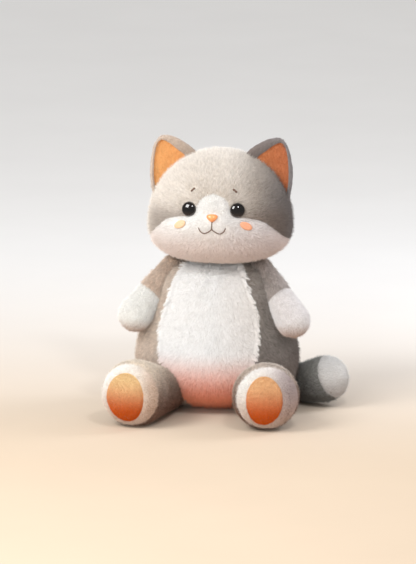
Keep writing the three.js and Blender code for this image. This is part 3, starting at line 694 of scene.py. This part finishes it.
BACKING = {kind: backing_material(kind) for kind in PLUSH}
PILE = {kind: pile_material(kind) for kind in PLUSH}
FELT, THREAD, EYE_PLASTIC, NOSE_PLASTIC = felt_material(), thread_material(), eye_material(), nose_material()
MOULDED, FIBRE, LINEN = moulded_material(), fibre_material(), linen_material()


# Pieces.


def piece(name, surface, material, body, node):
    """A shown piece, smooth shaded, riding on its body and standing for a CAD node."""
    made = new_object(name, *surface)
    made.data.polygons.foreach_set("use_smooth", [True] * len(made.data.polygons))
    made.data.materials.append(material)
    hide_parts(node)
    if body:
        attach(made, body)
    return made


def panel(name, surface, kind, body, node):
    """A panel of plush, riding on its body if it is given one."""
    return piece(name, surface, BACKING[kind], body, node)


def plush(name, surface, kind, body, node, comb, seed, pile="pile", **options):
    """A panel of plush and the pile that grows on it."""
    panel(f"{name}_plush", surface, kind, body, node)
    hair(f"{name}_{pile}", surface, kind, body, comb, seed, **options)


def filling(name, form, inset, seed, body, node):
    """The fibre inside a cover: the cover's form drawn in, with the lumps of loose fibre."""
    points, triangles = subdivided(form, 1)
    normals = vertex_normals(points, triangles)
    lumps = 1.2 * smooth_noise(points, 22, seed)
    points = points - normals * (inset + lumps)[:, None]
    piece(name, (points, triangles), FIBRE, body, node)


def hair(
    name, surface, kind, body, comb, seed, length=None, keep=None, density=1, radius=0.13, pull=0.14, tuft=9
):
    """Pile grown from a surface. comb gives the way each root's hair lies; keep thins the hairs out.

    length is a number or a function of the roots, or else the kind's own. pull draws the tips of each tuft
    together, and tuft is how many hairs are in one."""
    points, triangles = surface
    rng = np.random.default_rng(seed)
    corners = points[triangles]
    area = np.linalg.norm(np.cross(corners[:, 1] - corners[:, 0], corners[:, 2] - corners[:, 0]), axis=1) / 2
    count = int(area.sum() * density * PILE_DENSITY)
    which = rng.choice(len(triangles), count, p=area / area.sum())
    u, v = rng.random(count), rng.random(count)
    folded = u + v > 1
    u[folded], v[folded] = 1 - u[folded], 1 - v[folded]
    weights = np.stack([1 - u - v, u, v], axis=1)
    roots = (corners[which] * weights[:, :, None]).sum(axis=1)
    normals = unit((eased_normals(points, triangles)[triangles[which]] * weights[:, :, None]).sum(axis=1))
    if keep is not None:
        chosen = rng.random(count) < keep(roots)
        roots, normals = roots[chosen], normals[chosen]
    count = len(roots)
    stray = rng.random(count) < STRAYS["share"]
    length = length or PILE_LENGTH[kind]
    lengths = length(roots) if callable(length) else length
    lengths = lengths * rng.uniform(*HAIR["lengths"], count) * np.where(stray, STRAYS["length"], 1.0)
    flow = unit(comb(roots))
    swirl = np.stack([smooth_noise(roots, HAIR["swirl_size"], seed + k) for k in range(3)], axis=1)
    flow = flow + HAIR["wander"] * swirl + rng.normal(scale=HAIR["wander"], size=(count, 3))
    flow -= (flow * normals).sum(axis=1, keepdims=True) * normals
    lean = np.where(stray, STRAYS["lean"], 1.0)[:, None, None] * HAIR["lay"]
    t = np.linspace(0, 1, len(HAIR["taper"]))[None, :, None]
    up = normals[:, None] * (t * (1 - HAIR["droop"] * lean * t))
    along = flow[:, None] * (lean * t ** HAIR["bend"])
    strands = roots[:, None] + lengths[:, None, None] * (up + along)
    strands, member = tufted(strands, roots, rng, pull, tuft)
    strands[:, 0] -= normals * HAIR["sunk"]
    shades = rng.random(count)[member]
    add_curves(name, body, PILE[kind], strands, radius, shades)


def tufted(strands, roots, rng, pull, size):
    """Draws the tips of neighbouring hairs together. Returns the hairs, and the leader of each's tuft."""
    leaders = rng.choice(len(roots), max(1, len(roots) // size), replace=False)
    tree = KDTree(len(leaders))
    for place, index in enumerate(leaders):
        tree.insert(roots[index], place)
    tree.balance()
    leader = leaders[[tree.find(root)[1] for root in roots]]
    t = np.linspace(0, 1, strands.shape[1])[None, :, None]
    tip = strands[leader, -1][:, None]
    return strands + (tip - strands[:, -1:]) * (pull * t ** HAIR["bend"]), leader


def add_curves(name, body, material, strands, radius, shades):
    curves = bpy.data.hair_curves.new(name)
    curves.add_curves([strands.shape[1]] * len(strands))
    curves.attributes["position"].data.foreach_set("vector", (strands * MM).astype(np.float32).ravel())
    radii = np.tile(radius * MM * np.array(HAIR["taper"]), len(strands)).astype(np.float32)
    attribute = curves.attributes.get("radius") or curves.attributes.new("radius", "FLOAT", "POINT")
    attribute.data.foreach_set("value", radii)
    curves.attributes.new("tuft", "FLOAT", "CURVE").data.foreach_set("value", shades.astype(np.float32))
    curves.materials.append(material)
    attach(linked(name, curves), body)


def towards(direction):
    return lambda roots: np.tile(np.array(direction, float), (len(roots), 1))


def away_from(place):
    return lambda roots: roots - np.array(place, float)


def above(height):
    """Keeps the hairs rooted above a height, off the floor."""
    return lambda roots: (roots[:, 2] > height).astype(float)


# The head.


def head_profile(rows):
    """The half width at each height: rounder than an ellipse below the widest row, an ellipse above it."""
    angle = np.linspace(0, math.pi / 2, 60)
    across, down = np.sin(angle) ** (2 / HEAD["chin"]), np.cos(angle) ** (2 / HEAD["chin"])
    below, above_it = HEAD["widest"] - HEAD["lowest"], HEAD["top"] - HEAD["widest"]
    lower = np.stack([HEAD["half_width"] * across, HEAD["widest"] - below * down], axis=1)
    upper = np.stack([HEAD["half_width"] * np.cos(angle), HEAD["widest"] + above_it * np.sin(angle)], axis=1)
    return evenly(np.vstack([lower, upper[1:]]), rows)


def dimple(points, side, place, spread, depth):
    """Moves the front of the head in (or out) around a place in the front view."""
    gap = (points[:, [0, 2]] - np.array(place) * (side, 1)) / np.array(spread)
    front = np.clip(-points[:, 1] / FRONT_FADE, 0, 1)
    points[:, 1] += depth * np.exp(-(gap**2).sum(axis=1)) * front


def head_form():
    points, faces = turned(head_profile(34), 48)
    points[:, 1] *= np.where(points[:, 1] < 0, HEAD["front"], HEAD["back"])
    dimple(points, 1, **MUZZLE)
    for _, side in SIDES:
        dimple(points, side, **EYE_SOCKET)
        dimple(points, side, **JOWL)
    return points, faces


def face_outline():
    right = spline(FACE_EDGE, 60)
    left = right[::-1] * MIRROR
    return np.vstack([left[:-1], right, FACE_CORNER, FACE_CORNER * MIRROR])


def face_field(points):
    """Negative on the white of the face, which ends at the side seam."""
    edge = inside_distance(points[:, [0, 2]], face_outline())
    return np.maximum(edge, points[:, 1] - FACE_SIDE_SEAM)


def on_surface(tree, x, z):
    """The point and normal of the front of a surface at x and z."""
    place, normal, _, _ = tree.ray_cast(Vector((x, -250, z)), Vector((0, 1, 0)))
    return np.array(place), np.array(normal)


def dome(tree, x, z, outline, half_width, half_height, tilt=0, warp=None, forward=0.0, around=40):
    """A turned form set on the face, its outline in shares of the half width and heights off the face.

    forward turns it from facing squarely off the face towards the front."""
    place, normal = on_surface(tree, x, z)
    normal = unit(normal - np.array([0, forward, 0]))
    level = unit(np.cross([0, 0, 1], normal))
    upright = np.cross(normal, level)
    cos, sin = math.cos(math.radians(tilt)), math.sin(math.radians(tilt))
    across, up = level * cos + upright * sin, upright * cos - level * sin
    points, faces = turned(outline, around)
    flat = points[:, :2] * np.array([half_width, half_height])
    if warp:
        flat = warp(flat)
    return place + flat[:, :1] * across + flat[:, 1:] * up + points[:, 2:] * normal, faces


def rounded(height, rim, rows=9):
    """A domed button's outline, tucked under at the rim."""
    angle = np.linspace(0, math.pi / 2, rows)
    top = np.stack([np.cos(angle), rim + height * np.sin(angle)], axis=1)
    return np.vstack([[(0, rim - 2.5)], [(0.7, rim - 2.5)], [(0.93, rim - 1.6)], top])


def stitches(tree, path, width, lift, reach=STITCH["length"]):
    """Embroidery along a path on the face: short plump stitches laid end to end."""
    line = spline(path, 90)
    length = np.linalg.norm(np.diff(line, axis=0), axis=1).sum()
    ends = spline(path, max(1, round(length / reach)) + 1)
    made = []
    for a, b in zip(ends, ends[1:]):
        start, _ = on_surface(tree, *a)
        finish, normal = on_surface(tree, *b)
        axis = finish - start
        middle = (start + finish) / 2 + normal * lift
        along = unit(axis)
        side = unit(np.cross(normal, along))
        ring, faces = turned(rounded_capsule(np.linalg.norm(axis) * STITCH["overlap"], width), 10)
        raised_by = ring[:, 1:2] * normal * STITCH["flatness"]
        made.append((middle + ring[:, :1] * side + raised_by + ring[:, 2:] * along, faces))
    return joined(made)


def joined(forms):
    """Several forms as one."""
    faces, count = [], 0
    for points, own in forms:
        faces += [tuple(i + count for i in face) for face in own]
        count += len(points)
    return np.vstack([points for points, _ in forms]), faces


def rounded_capsule(half, width, rows=9):
    angle = np.linspace(-math.pi / 2, math.pi / 2, rows)
    return np.stack([width * np.cos(angle), half * np.sin(angle)], axis=1)


def mouth_paths():
    half, low = MOUTH["half_width"], MOUTH["low"]
    lip = [(half, MOUTH["end"]), (half * 0.86, low + 2), (MOUTH["dip"], low - 0.2), (half * 0.2, low + 2.6)]
    lip.append((0, MOUTH["middle"]))
    return [lip, [(-x, z) for x, z in lip], [(0, MOUTH["top"]), (0, MOUTH["middle"])]]


def brow_path(side):
    angle = math.radians(BROW["tilt"])
    x, z = BROW["x"] * side, BROW["z"]
    dx, dz = BROW["length"] / 2 * math.cos(angle) * side, BROW["length"] / 2 * math.sin(angle)
    return [(x - dx, z + dz), (x, z + 0.3), (x + dx, z - dz)]


def face_clearance(roots):
    """0 where the eyes, nose, stitches and patches sit, rising to 1 a little outside them."""
    flat = roots[:, [0, 2]] - NECK[[0, 2]]

    def off_oval(place, half, edge=1):
        return (np.linalg.norm((flat - place) / np.array(half), axis=1) - edge) * CLEAR["oval"]

    gaps = [off_oval((0, NOSE["z"]), (NOSE["half_width"], NOSE["half_height"]), CLEAR["nose"])]
    for _, side in SIDES:
        to_eye = np.linalg.norm(flat - (side * EYE["x"], EYE["z"]), axis=1)
        gaps.append(to_eye - EYE["radius"] - CLEAR["eye"])
        gaps.append(off_oval((side * CHEEK["x"], CHEEK["z"]), CHEEK["half"]))
        gaps.append(path_gap(flat, brow_path(side)) - CLEAR["brow"])
    gaps += [path_gap(flat, path) - CLEAR["mouth"] for path in mouth_paths()]
    return np.where(roots[:, 1] > 0, FAR, np.min(gaps, axis=0))


def path_gap(flat, path):
    line = spline(path, 24)
    return np.min(np.linalg.norm(flat[:, None] - line[None], axis=2), axis=1)


def build_head():
    form = head_form()
    form = stuffed(form, held(face_field(form[0]), 5))
    form = (form[0] + NECK, form[1])
    in_head = lambda p: face_field(p - NECK)
    points, triangles = subdivided(form, FINE)
    points = seam_groove(points, triangles, in_head(points))
    points = seam_groove(points, triangles, back_seam(points - NECK), BACK_SEAM["depth"])
    tree = BVHTree.FromPolygons(points.tolist(), triangles.tolist())
    points = piled(points, triangles, 0.35, 11)
    face, crown = split(points, triangles, in_head(points))
    filling("head_filling", form, INSET["head"], 3, "head", "head_stuffing")

    def face_length(roots):
        near = np.clip(face_clearance(roots) / CLEAR["face"], 0.45, 1)
        side = np.clip(np.abs(roots[:, 0]) / 80, 0, 1)
        return near * (PILE_LENGTH["face"] + 1.2 * side)

    def crown_length(roots):
        return np.clip(face_clearance(roots) / CLEAR["crown"], 0.5, 1) * PILE_LENGTH["crown"]

    clear = lambda roots: (face_clearance(roots) > 0).astype(float)
    off_nose = away_from(NECK + (0, -85, NOSE["z"] - 4))
    plush("face", face, "face", "head", "face_panel", off_nose, 21, length=face_length, keep=clear)
    options = {"length": crown_length, "keep": clear, "tuft": 6}
    plush("crown", crown, "crown", "head", "crown_cover", off_nose, 22, **options)
    build_features(tree)


def build_features(tree):
    middle, base = NECK[0], NECK[2]
    on_face = lambda path: [(middle + x, base + z) for x, z in path]
    for name, side in SIDES:
        outline = rounded(EYE["height"], 1.2)
        place = (middle + side * EYE["x"], base + EYE["z"])
        eye = dome(tree, *place, outline, EYE["radius"], EYE["radius"], forward=EYE["forward"])
        piece(f"{name}_eye_dome", eye, EYE_PLASTIC, "head", f"{name}_eye")
        outline = [(0, 0.4), (0.9, 0.4), (1, 1.0), (1, 1.6), (0.95, 2.1), (0.6, 2.3), (0, 2.4)]
        place = (middle + side * CHEEK["x"], base + CHEEK["z"])
        patch = dome(tree, *place, outline, *CHEEK["half"], tilt=-side * CHEEK["tilt"])
        piece(f"{name}_cheek_felt", patch, FELT, "head", f"{name}_cheek_patch")
        brow = stitches(tree, on_face(brow_path(side)), BROW["width"], BROW["lift"])
        piece(f"{name}_brow_stitch", brow, THREAD, "head", f"{name}_brow")

    def triangle(flat):
        narrowing = 0.76 + 0.36 * flat[:, 1:] / NOSE["half_height"]
        return flat * np.hstack([narrowing, np.ones_like(narrowing)])

    outline = rounded(NOSE["height"], 1.6)
    half = (NOSE["half_width"], NOSE["half_height"])
    nose = dome(tree, middle, base + NOSE["z"], outline, *half, warp=triangle)
    piece("nose_button", nose, NOSE_PLASTIC, "head", "nose")
    lines = [
        stitches(tree, on_face(path), MOUTH["width"], MOUTH["lift"], STITCH["mouth_length"])
        for path in mouth_paths()
    ]
    piece("mouth_thread", joined(lines), THREAD, "head", "mouth_stitching")


# The ears: a padded rim and a convex back of grey plush round a recessed orange lining.


def ear_rows():
    """(share of the outline, depth) from the front's middle, over the rim, to the back's middle."""
    inner, front, back = EAR["rim"], -EAR["front"], EAR["back"]
    sunk = front + EAR["recess"]
    lining = [(share, sunk + 1.5 * (1 - share / inner)) for share in (0, 0.2, 0.4, 0.56, 0.68)]
    wall = [(inner, sunk - 0.4), (inner + 0.035, front + EAR["recess"] * 0.45), (inner + 0.075, front + 0.8)]
    rim = [(inner + 0.12, front), (inner + 0.17, front + 0.9), (0.975, front + 3.2), (1, -0.4)]
    rear = [(0.985, 3.5), (0.93, 6.6), (0.84, 9), (0.7, back - 1.2), (0.5, back - 0.3)]
    rear += [(0.25, back), (0, back)]
    return lining + wall + rim + rear


def reach_towards(inner, outer):
    """How far an inner outline round the origin reaches towards each point of an outer one, as a share."""
    angle, length = np.arctan2(inner[:, 1], inner[:, 0]), np.linalg.norm(inner, axis=1)
    wanted = np.arctan2(outer[:, 1], outer[:, 0])
    return np.interp(wanted, angle, length, period=2 * math.pi) / np.linalg.norm(outer, axis=1)


def ear_form(outline, lining_share, side):
    """The turned rows give each vertex its share and depth; the outlines give it its place."""
    centre, around = np.array(EAR["centre"]), len(outline)
    points, faces = turned(ear_rows(), around)
    share = np.linalg.norm(points[:, :2], axis=1)
    ring = np.round(np.arctan2(points[:, 1], points[:, 0]) / (2 * math.pi) * around).astype(int) % around
    edge = lining_share[ring]
    within, beyond = share / EAR["rim"] * edge, 1 - (1 - share) / (1 - EAR["rim"]) * (1 - edge)
    front_share = np.where(share < EAR["rim"], within, beyond)
    flat = centre + (outline[ring] - centre) * np.where(points[:, 2] > 0, share, front_share)[:, None]
    low, high = EAR["thinning_heights"]
    thickness = 1 - EAR["thinning"] * np.clip((flat[:, 1] - low) / (high - low), 0, 1)
    form = np.column_stack([side * flat[:, 0], EAR["y"] + points[:, 2] * thickness, flat[:, 1]]) + NECK
    lining_edge = np.where(points[:, 2] > 0, 1, share - (EAR["rim"] + 0.01))
    return stuffed((form, mirrored(faces, -side)), held(lining_edge, 0.06, 1.0), 2.0)


def build_ear(name, side):
    around = 56
    centre = np.array(EAR["centre"])
    outline = spline(EAR["outline"], around + 1, closed=True)[:-1]
    lining_share = reach_towards(spline(EAR["lining"], around, closed=True) - centre, outline - centre)
    inner = centre + (outline - centre) * (lining_share[:, None] + 0.02)
    fine, triangles = sewn(ear_form(outline, lining_share, side), (), 0.3, 31)
    local = fine - NECK
    to_rear = local[:, 1] - EAR["y"] - EAR["lining_depth"]
    past_lining = inside_distance(local[:, [0, 2]] * (side, 1), inner)
    lining, back = split(fine, triangles, np.maximum(past_lining, to_rear))
    body = f"{name}_ear"
    for made in (
        panel(f"{body}_plush", back, "ear", None, f"{body}_back"),
        panel(f"{body}_satin", lining, "lining", None, f"{body}_lining"),
    ):
        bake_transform(made)
    tip = NECK + (side * 66, 0, 200)
    up = lambda roots: unit(tip - roots) * (1, 0.4, 1)
    outward = away_from(NECK + (side * centre[0], EAR["y"], centre[1] - 40))
    hair(f"{body}_pile", back, "ear", body, outward, 41)
    hair(f"{body}_nap", lining, "lining", body, up, 42, density=1.3, radius=0.16)


# The body.


def body_form():
    profile = np.maximum(spline(BODY, 34), (0, 0.2))
    profile[[0, -1], 0] = 0
    points, faces = turned(profile, 52)
    off_bulge = (points[:, 2] - BODY_DEPTH["bulge_z"]) / BODY_DEPTH["bulge_reach"]
    bulge = BODY_DEPTH["bulge"] * np.exp(-(off_bulge**2))
    points[:, 1] *= np.where(points[:, 1] < 0, BODY_DEPTH["front"] + bulge, BODY_DEPTH["back"])
    forward = np.clip((-points[:, 1] - BODY_TUCK["start"]) / BODY_TUCK["reach"], 0, 1)
    low = np.clip(1 - points[:, 2] / BODY_TUCK["height"], 0, 1)
    points[:, 2] += BODY_TUCK["rise"] * forward * low
    return points, faces


def belly_field(points):
    right = spline(BELLY_EDGE, 40)
    top, bottom = np.array(BELLY_ENDS["top"]), np.array(BELLY_ENDS["bottom"])
    lean = np.array([BELLY_LEAN, 0])
    outline = [right - lean, top, top * MIRROR, right[::-1] * MIRROR - lean, bottom * MIRROR, bottom]
    return np.maximum(inside_distance(points[:, [0, 2]], np.vstack(outline)), points[:, 1] - BELLY_SIDE_SEAM)


def build_body():
    form = body_form()
    form = stuffed(form, np.where(form[0][:, 2] < 3, 1.0, held(belly_field(form[0]), 5, 0.7)))
    raised(form[0], FORM_GAP)
    fine, triangles = sewn(form, ((belly_field, 1.2), (back_seam, BACK_SEAM["depth"])), 0.4, 51)
    raised(fine, PILE_GAP)
    belly, back = split(fine, triangles, belly_field(fine))
    filling("body_filling", form, INSET["body"], 5, "torso", "body_stuffing")

    def flowing(across):
        """Hairs that hang, drawn outwards by across."""
        return lambda roots: np.column_stack([across(roots[:, 0]), np.tile((-0.1, -0.8), (len(roots), 1))])

    def over_edge(roots):
        near = belly_field(roots) > -FRINGE["width"]
        return near & (roots[:, 1] < FRINGE["front"]) & (roots[:, 2] > FRINGE["lowest"])

    hanging, outwards = flowing(lambda x: x / 110), flowing(lambda x: np.sign(x) * 0.75)
    plush("belly", belly, "belly", "torso", "belly_panel", hanging, 61, keep=above(5))
    plush("back", back, "torso", "torso", "body_cover", hanging, 62, keep=above(5), density=0.9)
    fringe = {key: FRINGE[key] for key in ("length", "density", "pull", "tuft")}
    hair("belly_fringe", belly, "belly", "torso", outwards, 63, keep=over_edge, **fringe)


# The limbs, each in its own frame: x out of its joint, z along it.


def tapered_profile(root, tip, length, rows, flat=1.0):
    lean = math.asin((root - tip) / length)
    low, high = np.linspace(-math.pi / 2, lean, 30), np.linspace(lean, math.pi / 2, 30)
    rise = tip * np.sin(high)
    start = np.stack([root * np.cos(low), root * np.sin(low)], axis=1)
    end = np.stack([tip * np.cos(high), length + np.where(rise > 0, rise * flat, rise)], axis=1)
    profile = evenly(np.vstack([start, end]), rows)
    profile[0, 0] = profile[-1, 0] = 0
    return profile


def limb_axes(start, end, outwards):
    along = unit(end - start)
    out = unit(np.array(outwards) - (np.array(outwards) @ along) * along)
    return np.array([out, np.cross(along, out), along])


def local_points(points, origin, axes, side):
    """Points of the row frame in a left limb's own frame, mirrored for the right."""
    return (points * (side, 1, 1) - origin) @ axes.T


def mirrored(faces, side):
    return faces if side > 0 else [face[::-1] for face in faces]


def limb_form(form, pinned, limit, origin, axes, side):
    """The stuffed form of a limb, from its own frame to its place."""
    points, _ = stuffed(form, pinned, limit)
    return (origin + points @ axes) * (side, 1, 1), mirrored(form[1], side)


def build_arm(name, side):
    shoulder, end = np.array(ARM["start"], float), np.array(ARM["end"][name])
    axes = limb_axes(shoulder, end, ARM["outwards"])
    form = turned(tapered_profile(ARM["root"], ARM["tip"], np.linalg.norm(end - shoulder), 26), 32)
    tilt_x, tilt_y = ARM["seam_tilt"]
    seam = lambda p: ARM["mitt"] + tilt_x * p[:, 0] + tilt_y * p[:, 1] - p[:, 2]
    form = limb_form(form, held(seam(form[0])), 2.5, shoulder, axes, side)
    field = lambda p: seam(local_points(p, shoulder, axes, side))
    fine, triangles = sewn(form, ((field, 1.2),), 0.35, 71)
    mitt, sleeve = split(fine, triangles, field(fine))
    body = f"{name}_arm"
    filling(f"{name}_arm_filling", form, INSET["arm"], 7, body, f"{name}_arm_stuffing")
    along = towards(axes[2] * (side, 1, 1))
    plush(f"{name}_sleeve", sleeve, "sleeve", body, f"{name}_arm_sleeve", along, 81)
    plush(f"{name}_mitt", mitt, "mitt", body, f"{name}_mitt", along, 82)


def leg_seams(name, band):
    """The fields of the foot band and of the pad, in the leg's own frame."""
    pad_x, pad_y = LEG["pad"][name]

    def pad_field(p):
        across, up = p[:, 0] - LEG["pad_shift"][name], p[:, 1] + LEG["pad_drop"]
        oval = (np.hypot(across / pad_x, up / pad_y) - 1) * (pad_x + pad_y) / 2
        return np.maximum(oval, band - p[:, 2])

    return lambda p: band + LEG["band_tilt"] * p[:, 1] - p[:, 2], pad_field


def build_leg(name, side):
    hip, foot = np.array(LEG["start"], float), np.array(LEG["foot"][name], float)
    axes = limb_axes(hip, foot, LEG["outwards"])
    length = np.linalg.norm(foot - hip)
    form = turned(tapered_profile(LEG["root"], LEG["foot_radius"], length, 32, LEG["sole"]), 40)
    band_field, pad_field = leg_seams(name, length + LEG["band"])
    pinned = np.maximum(held(band_field(form[0])), held(pad_field(form[0])))
    form = limb_form(form, pinned, 3, hip, axes, side)
    raised(form[0], FORM_GAP)
    band_seam = lambda p: band_field(local_points(p, hip, axes, side))
    pad_seam = lambda p: pad_field(local_points(p, hip, axes, side))
    fine, triangles = sewn(form, ((band_seam, 1.3), (pad_seam, 1.5)), 0.35, 91)
    raised(fine, PILE_GAP)
    sole, cover = split(fine, triangles, band_seam(fine))
    pad, ring = split(*sole, pad_seam(sole[0]))
    body, band = f"{name}_leg", f"{name}_band"
    filling(f"{name}_leg_filling", form, INSET["leg"], 9, body, f"{name}_leg_stuffing")
    centre = (foot + axes[2] * LEG["band"]) * (side, 1, 1)
    along, down = towards(axes[2] * (side, 1, 1)), towards((0, 0, -1))
    plush(body, cover, "leg", body, f"{name}_leg_cover", along, 101, keep=above(2))
    plush(band, ring, band, body, f"{name}_foot_band", away_from(centre), 102, keep=above(2))
    plush(f"{name}_pad", pad, "pad", body, f"{name}_foot_pad", down, 103, "nap", density=1.2, radius=0.17)


def bent_along(points, path, length):
    """A form along z, bent to follow a path of the given length. Its ends reach past the path's."""
    share = np.clip(points[:, 2] / length, 0, 1)
    place, steps = share * (len(path) - 1), np.arange(len(path))
    slope = np.gradient(path, axis=0)
    centre = np.stack([np.interp(place, steps, path[:, k]) for k in range(3)], axis=1)
    along = unit(np.stack([np.interp(place, steps, slope[:, k]) for k in range(3)], axis=1))
    across = unit(np.cross([0, 0, 1], along))
    up = np.cross(along, across)
    beyond = points[:, 2:] - (share * length)[:, None]
    return centre + across * points[:, :1] + up * points[:, 1:2] + along * beyond


def build_tail():
    path = spline(TAIL["path"], 60)
    length = np.linalg.norm(np.diff(path, axis=0), axis=1).sum()
    points, faces = turned(tapered_profile(TAIL["root"], TAIL["tip"], length, 34), 32)
    points = bent_along(points, path, length)
    facing, end = unit(np.array(TAIL["facing"])), path[-1]
    across = np.cross(facing, [0, 0, 1])
    seam = lambda p: TAIL["seam"] - (p - end) @ facing - TAIL["seam_curve"] * ((p - end) @ across) ** 2
    form = stuffed((points, faces), held(seam(points)), 3)
    raised(form[0], FORM_GAP)
    fine, triangles = sewn(form, ((seam, 1.2),), 0.35, 111)
    raised(fine, PILE_GAP)
    tip, cover = split(fine, triangles, seam(fine))
    filling("tail_filling", form, INSET["tail"], 13, "tail", "tail_stuffing")

    thinned, slope = path[::4], np.gradient(path, axis=0)[::4]

    def along_tail(roots):
        return slope[np.argmin(np.linalg.norm(roots[:, None] - thinned, axis=2), axis=1)]

    plush("tail", cover, "tail", "tail", "tail_cover", along_tail, 121, keep=above(2))
    plush("tail_tip", tip, "tip", "tail", "tail_tip", along_tail, 122, keep=above(2))


def build_pouch():
    """The pellet pouch in the seat: a low pillow with a drawn-in edge."""
    low, high = (np.array(corner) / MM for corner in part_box("pellet_pouch"))
    angle = np.linspace(-math.pi / 2, math.pi / 2, 19)
    outline = np.stack([np.cos(angle) ** 0.6, np.sin(angle) * (0.75 + 0.25 * np.cos(angle))], axis=1)
    outline[[0, -1], 0] = 0
    points, faces = turned(outline, 40)
    form = (points * (high - low) / 2 + (low + high) / 2, faces)
    fine, triangles = subdivided(stuffed(form, held(points[:, 2], 0.12, 1.0), 1.5), 1)
    fine += vertex_normals(fine, triangles) * (0.6 * smooth_noise(fine, 9, 131))[:, None]
    piece("seat_pouch", (fine, triangles), LINEN, "torso", "pellet_pouch")


def finish_hardware():
    """The hard CAD pieces stay and get moulded plastic."""
    for made in frame["nodes"].values():
        if not made.hide_render:
            made.data.materials.clear()
            made.data.materials.append(MOULDED)


# Floor, light and camera.


def build_floor():
    nodes = Nodes("studio_paper", 0.9, 0.1)
    # Painted shade: the paper darker and warmer towards the front, paler far off.
    paper = nodes.two_tone(nodes.span(nodes.axis("Y"), *FLOOR["fade"]), FLOOR["near"], FLOOR["far"], 0, 1)
    nodes.colour(nodes.times(paper, nodes.shade(nodes.noise(6, 3), (0.98, 0.98, 0.98))))
    reach = FLOOR["reach"]
    corners = [(-reach, -reach, 0), (reach, -reach, 0), (reach, reach, 0), (-reach, reach, 0)]
    floor = new_object("floor", corners, [(0, 1, 2, 3)])
    floor.data.materials.append(nodes.material)
    floor.visible_glossy = False


def build_walls():
    """Pale all round, but dark in reflections, so that the eyes stay black round their highlights."""
    world = bpy.data.worlds.new("studio")
    bpy.context.scene.world = world
    world.use_nodes = True
    tree = world.node_tree
    background = tree.nodes["Background"]
    background.inputs["Color"].default_value = srgb(*WALLS["colour"])
    path = tree.nodes.new("ShaderNodeLightPath")
    strength = tree.nodes.new("ShaderNodeMapRange")
    strength.inputs["To Min"].default_value = WALLS["strength"]
    strength.inputs["To Max"].default_value = WALLS["mirrored"]
    tree.links.new(path.outputs["Is Glossy Ray"], strength.inputs["Value"])
    tree.links.new(strength.outputs["Result"], background.inputs["Strength"])


def area_light(name, place, size, power, colour, mirrored_too):
    """A square soft light aimed at the cat."""
    light = bpy.data.lights.new(name, "AREA")
    light.size = size * MM
    light.energy = power
    light.color = colour
    made = linked(name, light)
    made.location = Vector(place) * MM
    made.visible_glossy = mirrored_too
    made.rotation_euler = (Vector(LIGHT_TARGET) * MM - made.location).to_track_quat("-Z", "Y").to_euler()


def build_camera():
    azimuth, elevation = math.radians(CAMERA["azimuth"]), math.radians(CAMERA["elevation"])
    level = np.array([math.sin(azimuth), -math.cos(azimuth), 0]) * math.cos(elevation)
    away = level + (0, 0, math.sin(elevation))
    right = np.array([math.cos(azimuth), math.sin(azimuth), 0])
    aim_right, aim_up = CAMERA["aim"]
    target = right * aim_right + np.cross(right, -away) * aim_up
    data = bpy.data.cameras.new("camera")
    data.sensor_fit = "HORIZONTAL"
    data.sensor_width = SENSOR
    data.lens = SENSOR * CAMERA["distance"] / CAMERA["width"]
    data.clip_end = 100
    camera = linked("camera", data)
    camera.location = Vector(target + away * CAMERA["distance"]) * MM
    camera.rotation_euler = (-Vector(away)).to_track_quat("-Z", "Y").to_euler()
    bpy.context.scene.camera = camera


build_head()
for side_name, side_sign in SIDES:
    build_ear(side_name, side_sign)
    build_arm(side_name, side_sign)
    build_leg(side_name, side_sign)
build_body()
build_tail()
build_pouch()
finish_hardware()
build_floor()
build_walls()
for light_name, light_values in LIGHTS.items():
    area_light(light_name, *light_values)
build_camera()
bpy.context.scene.view_settings.view_transform = "Standard"
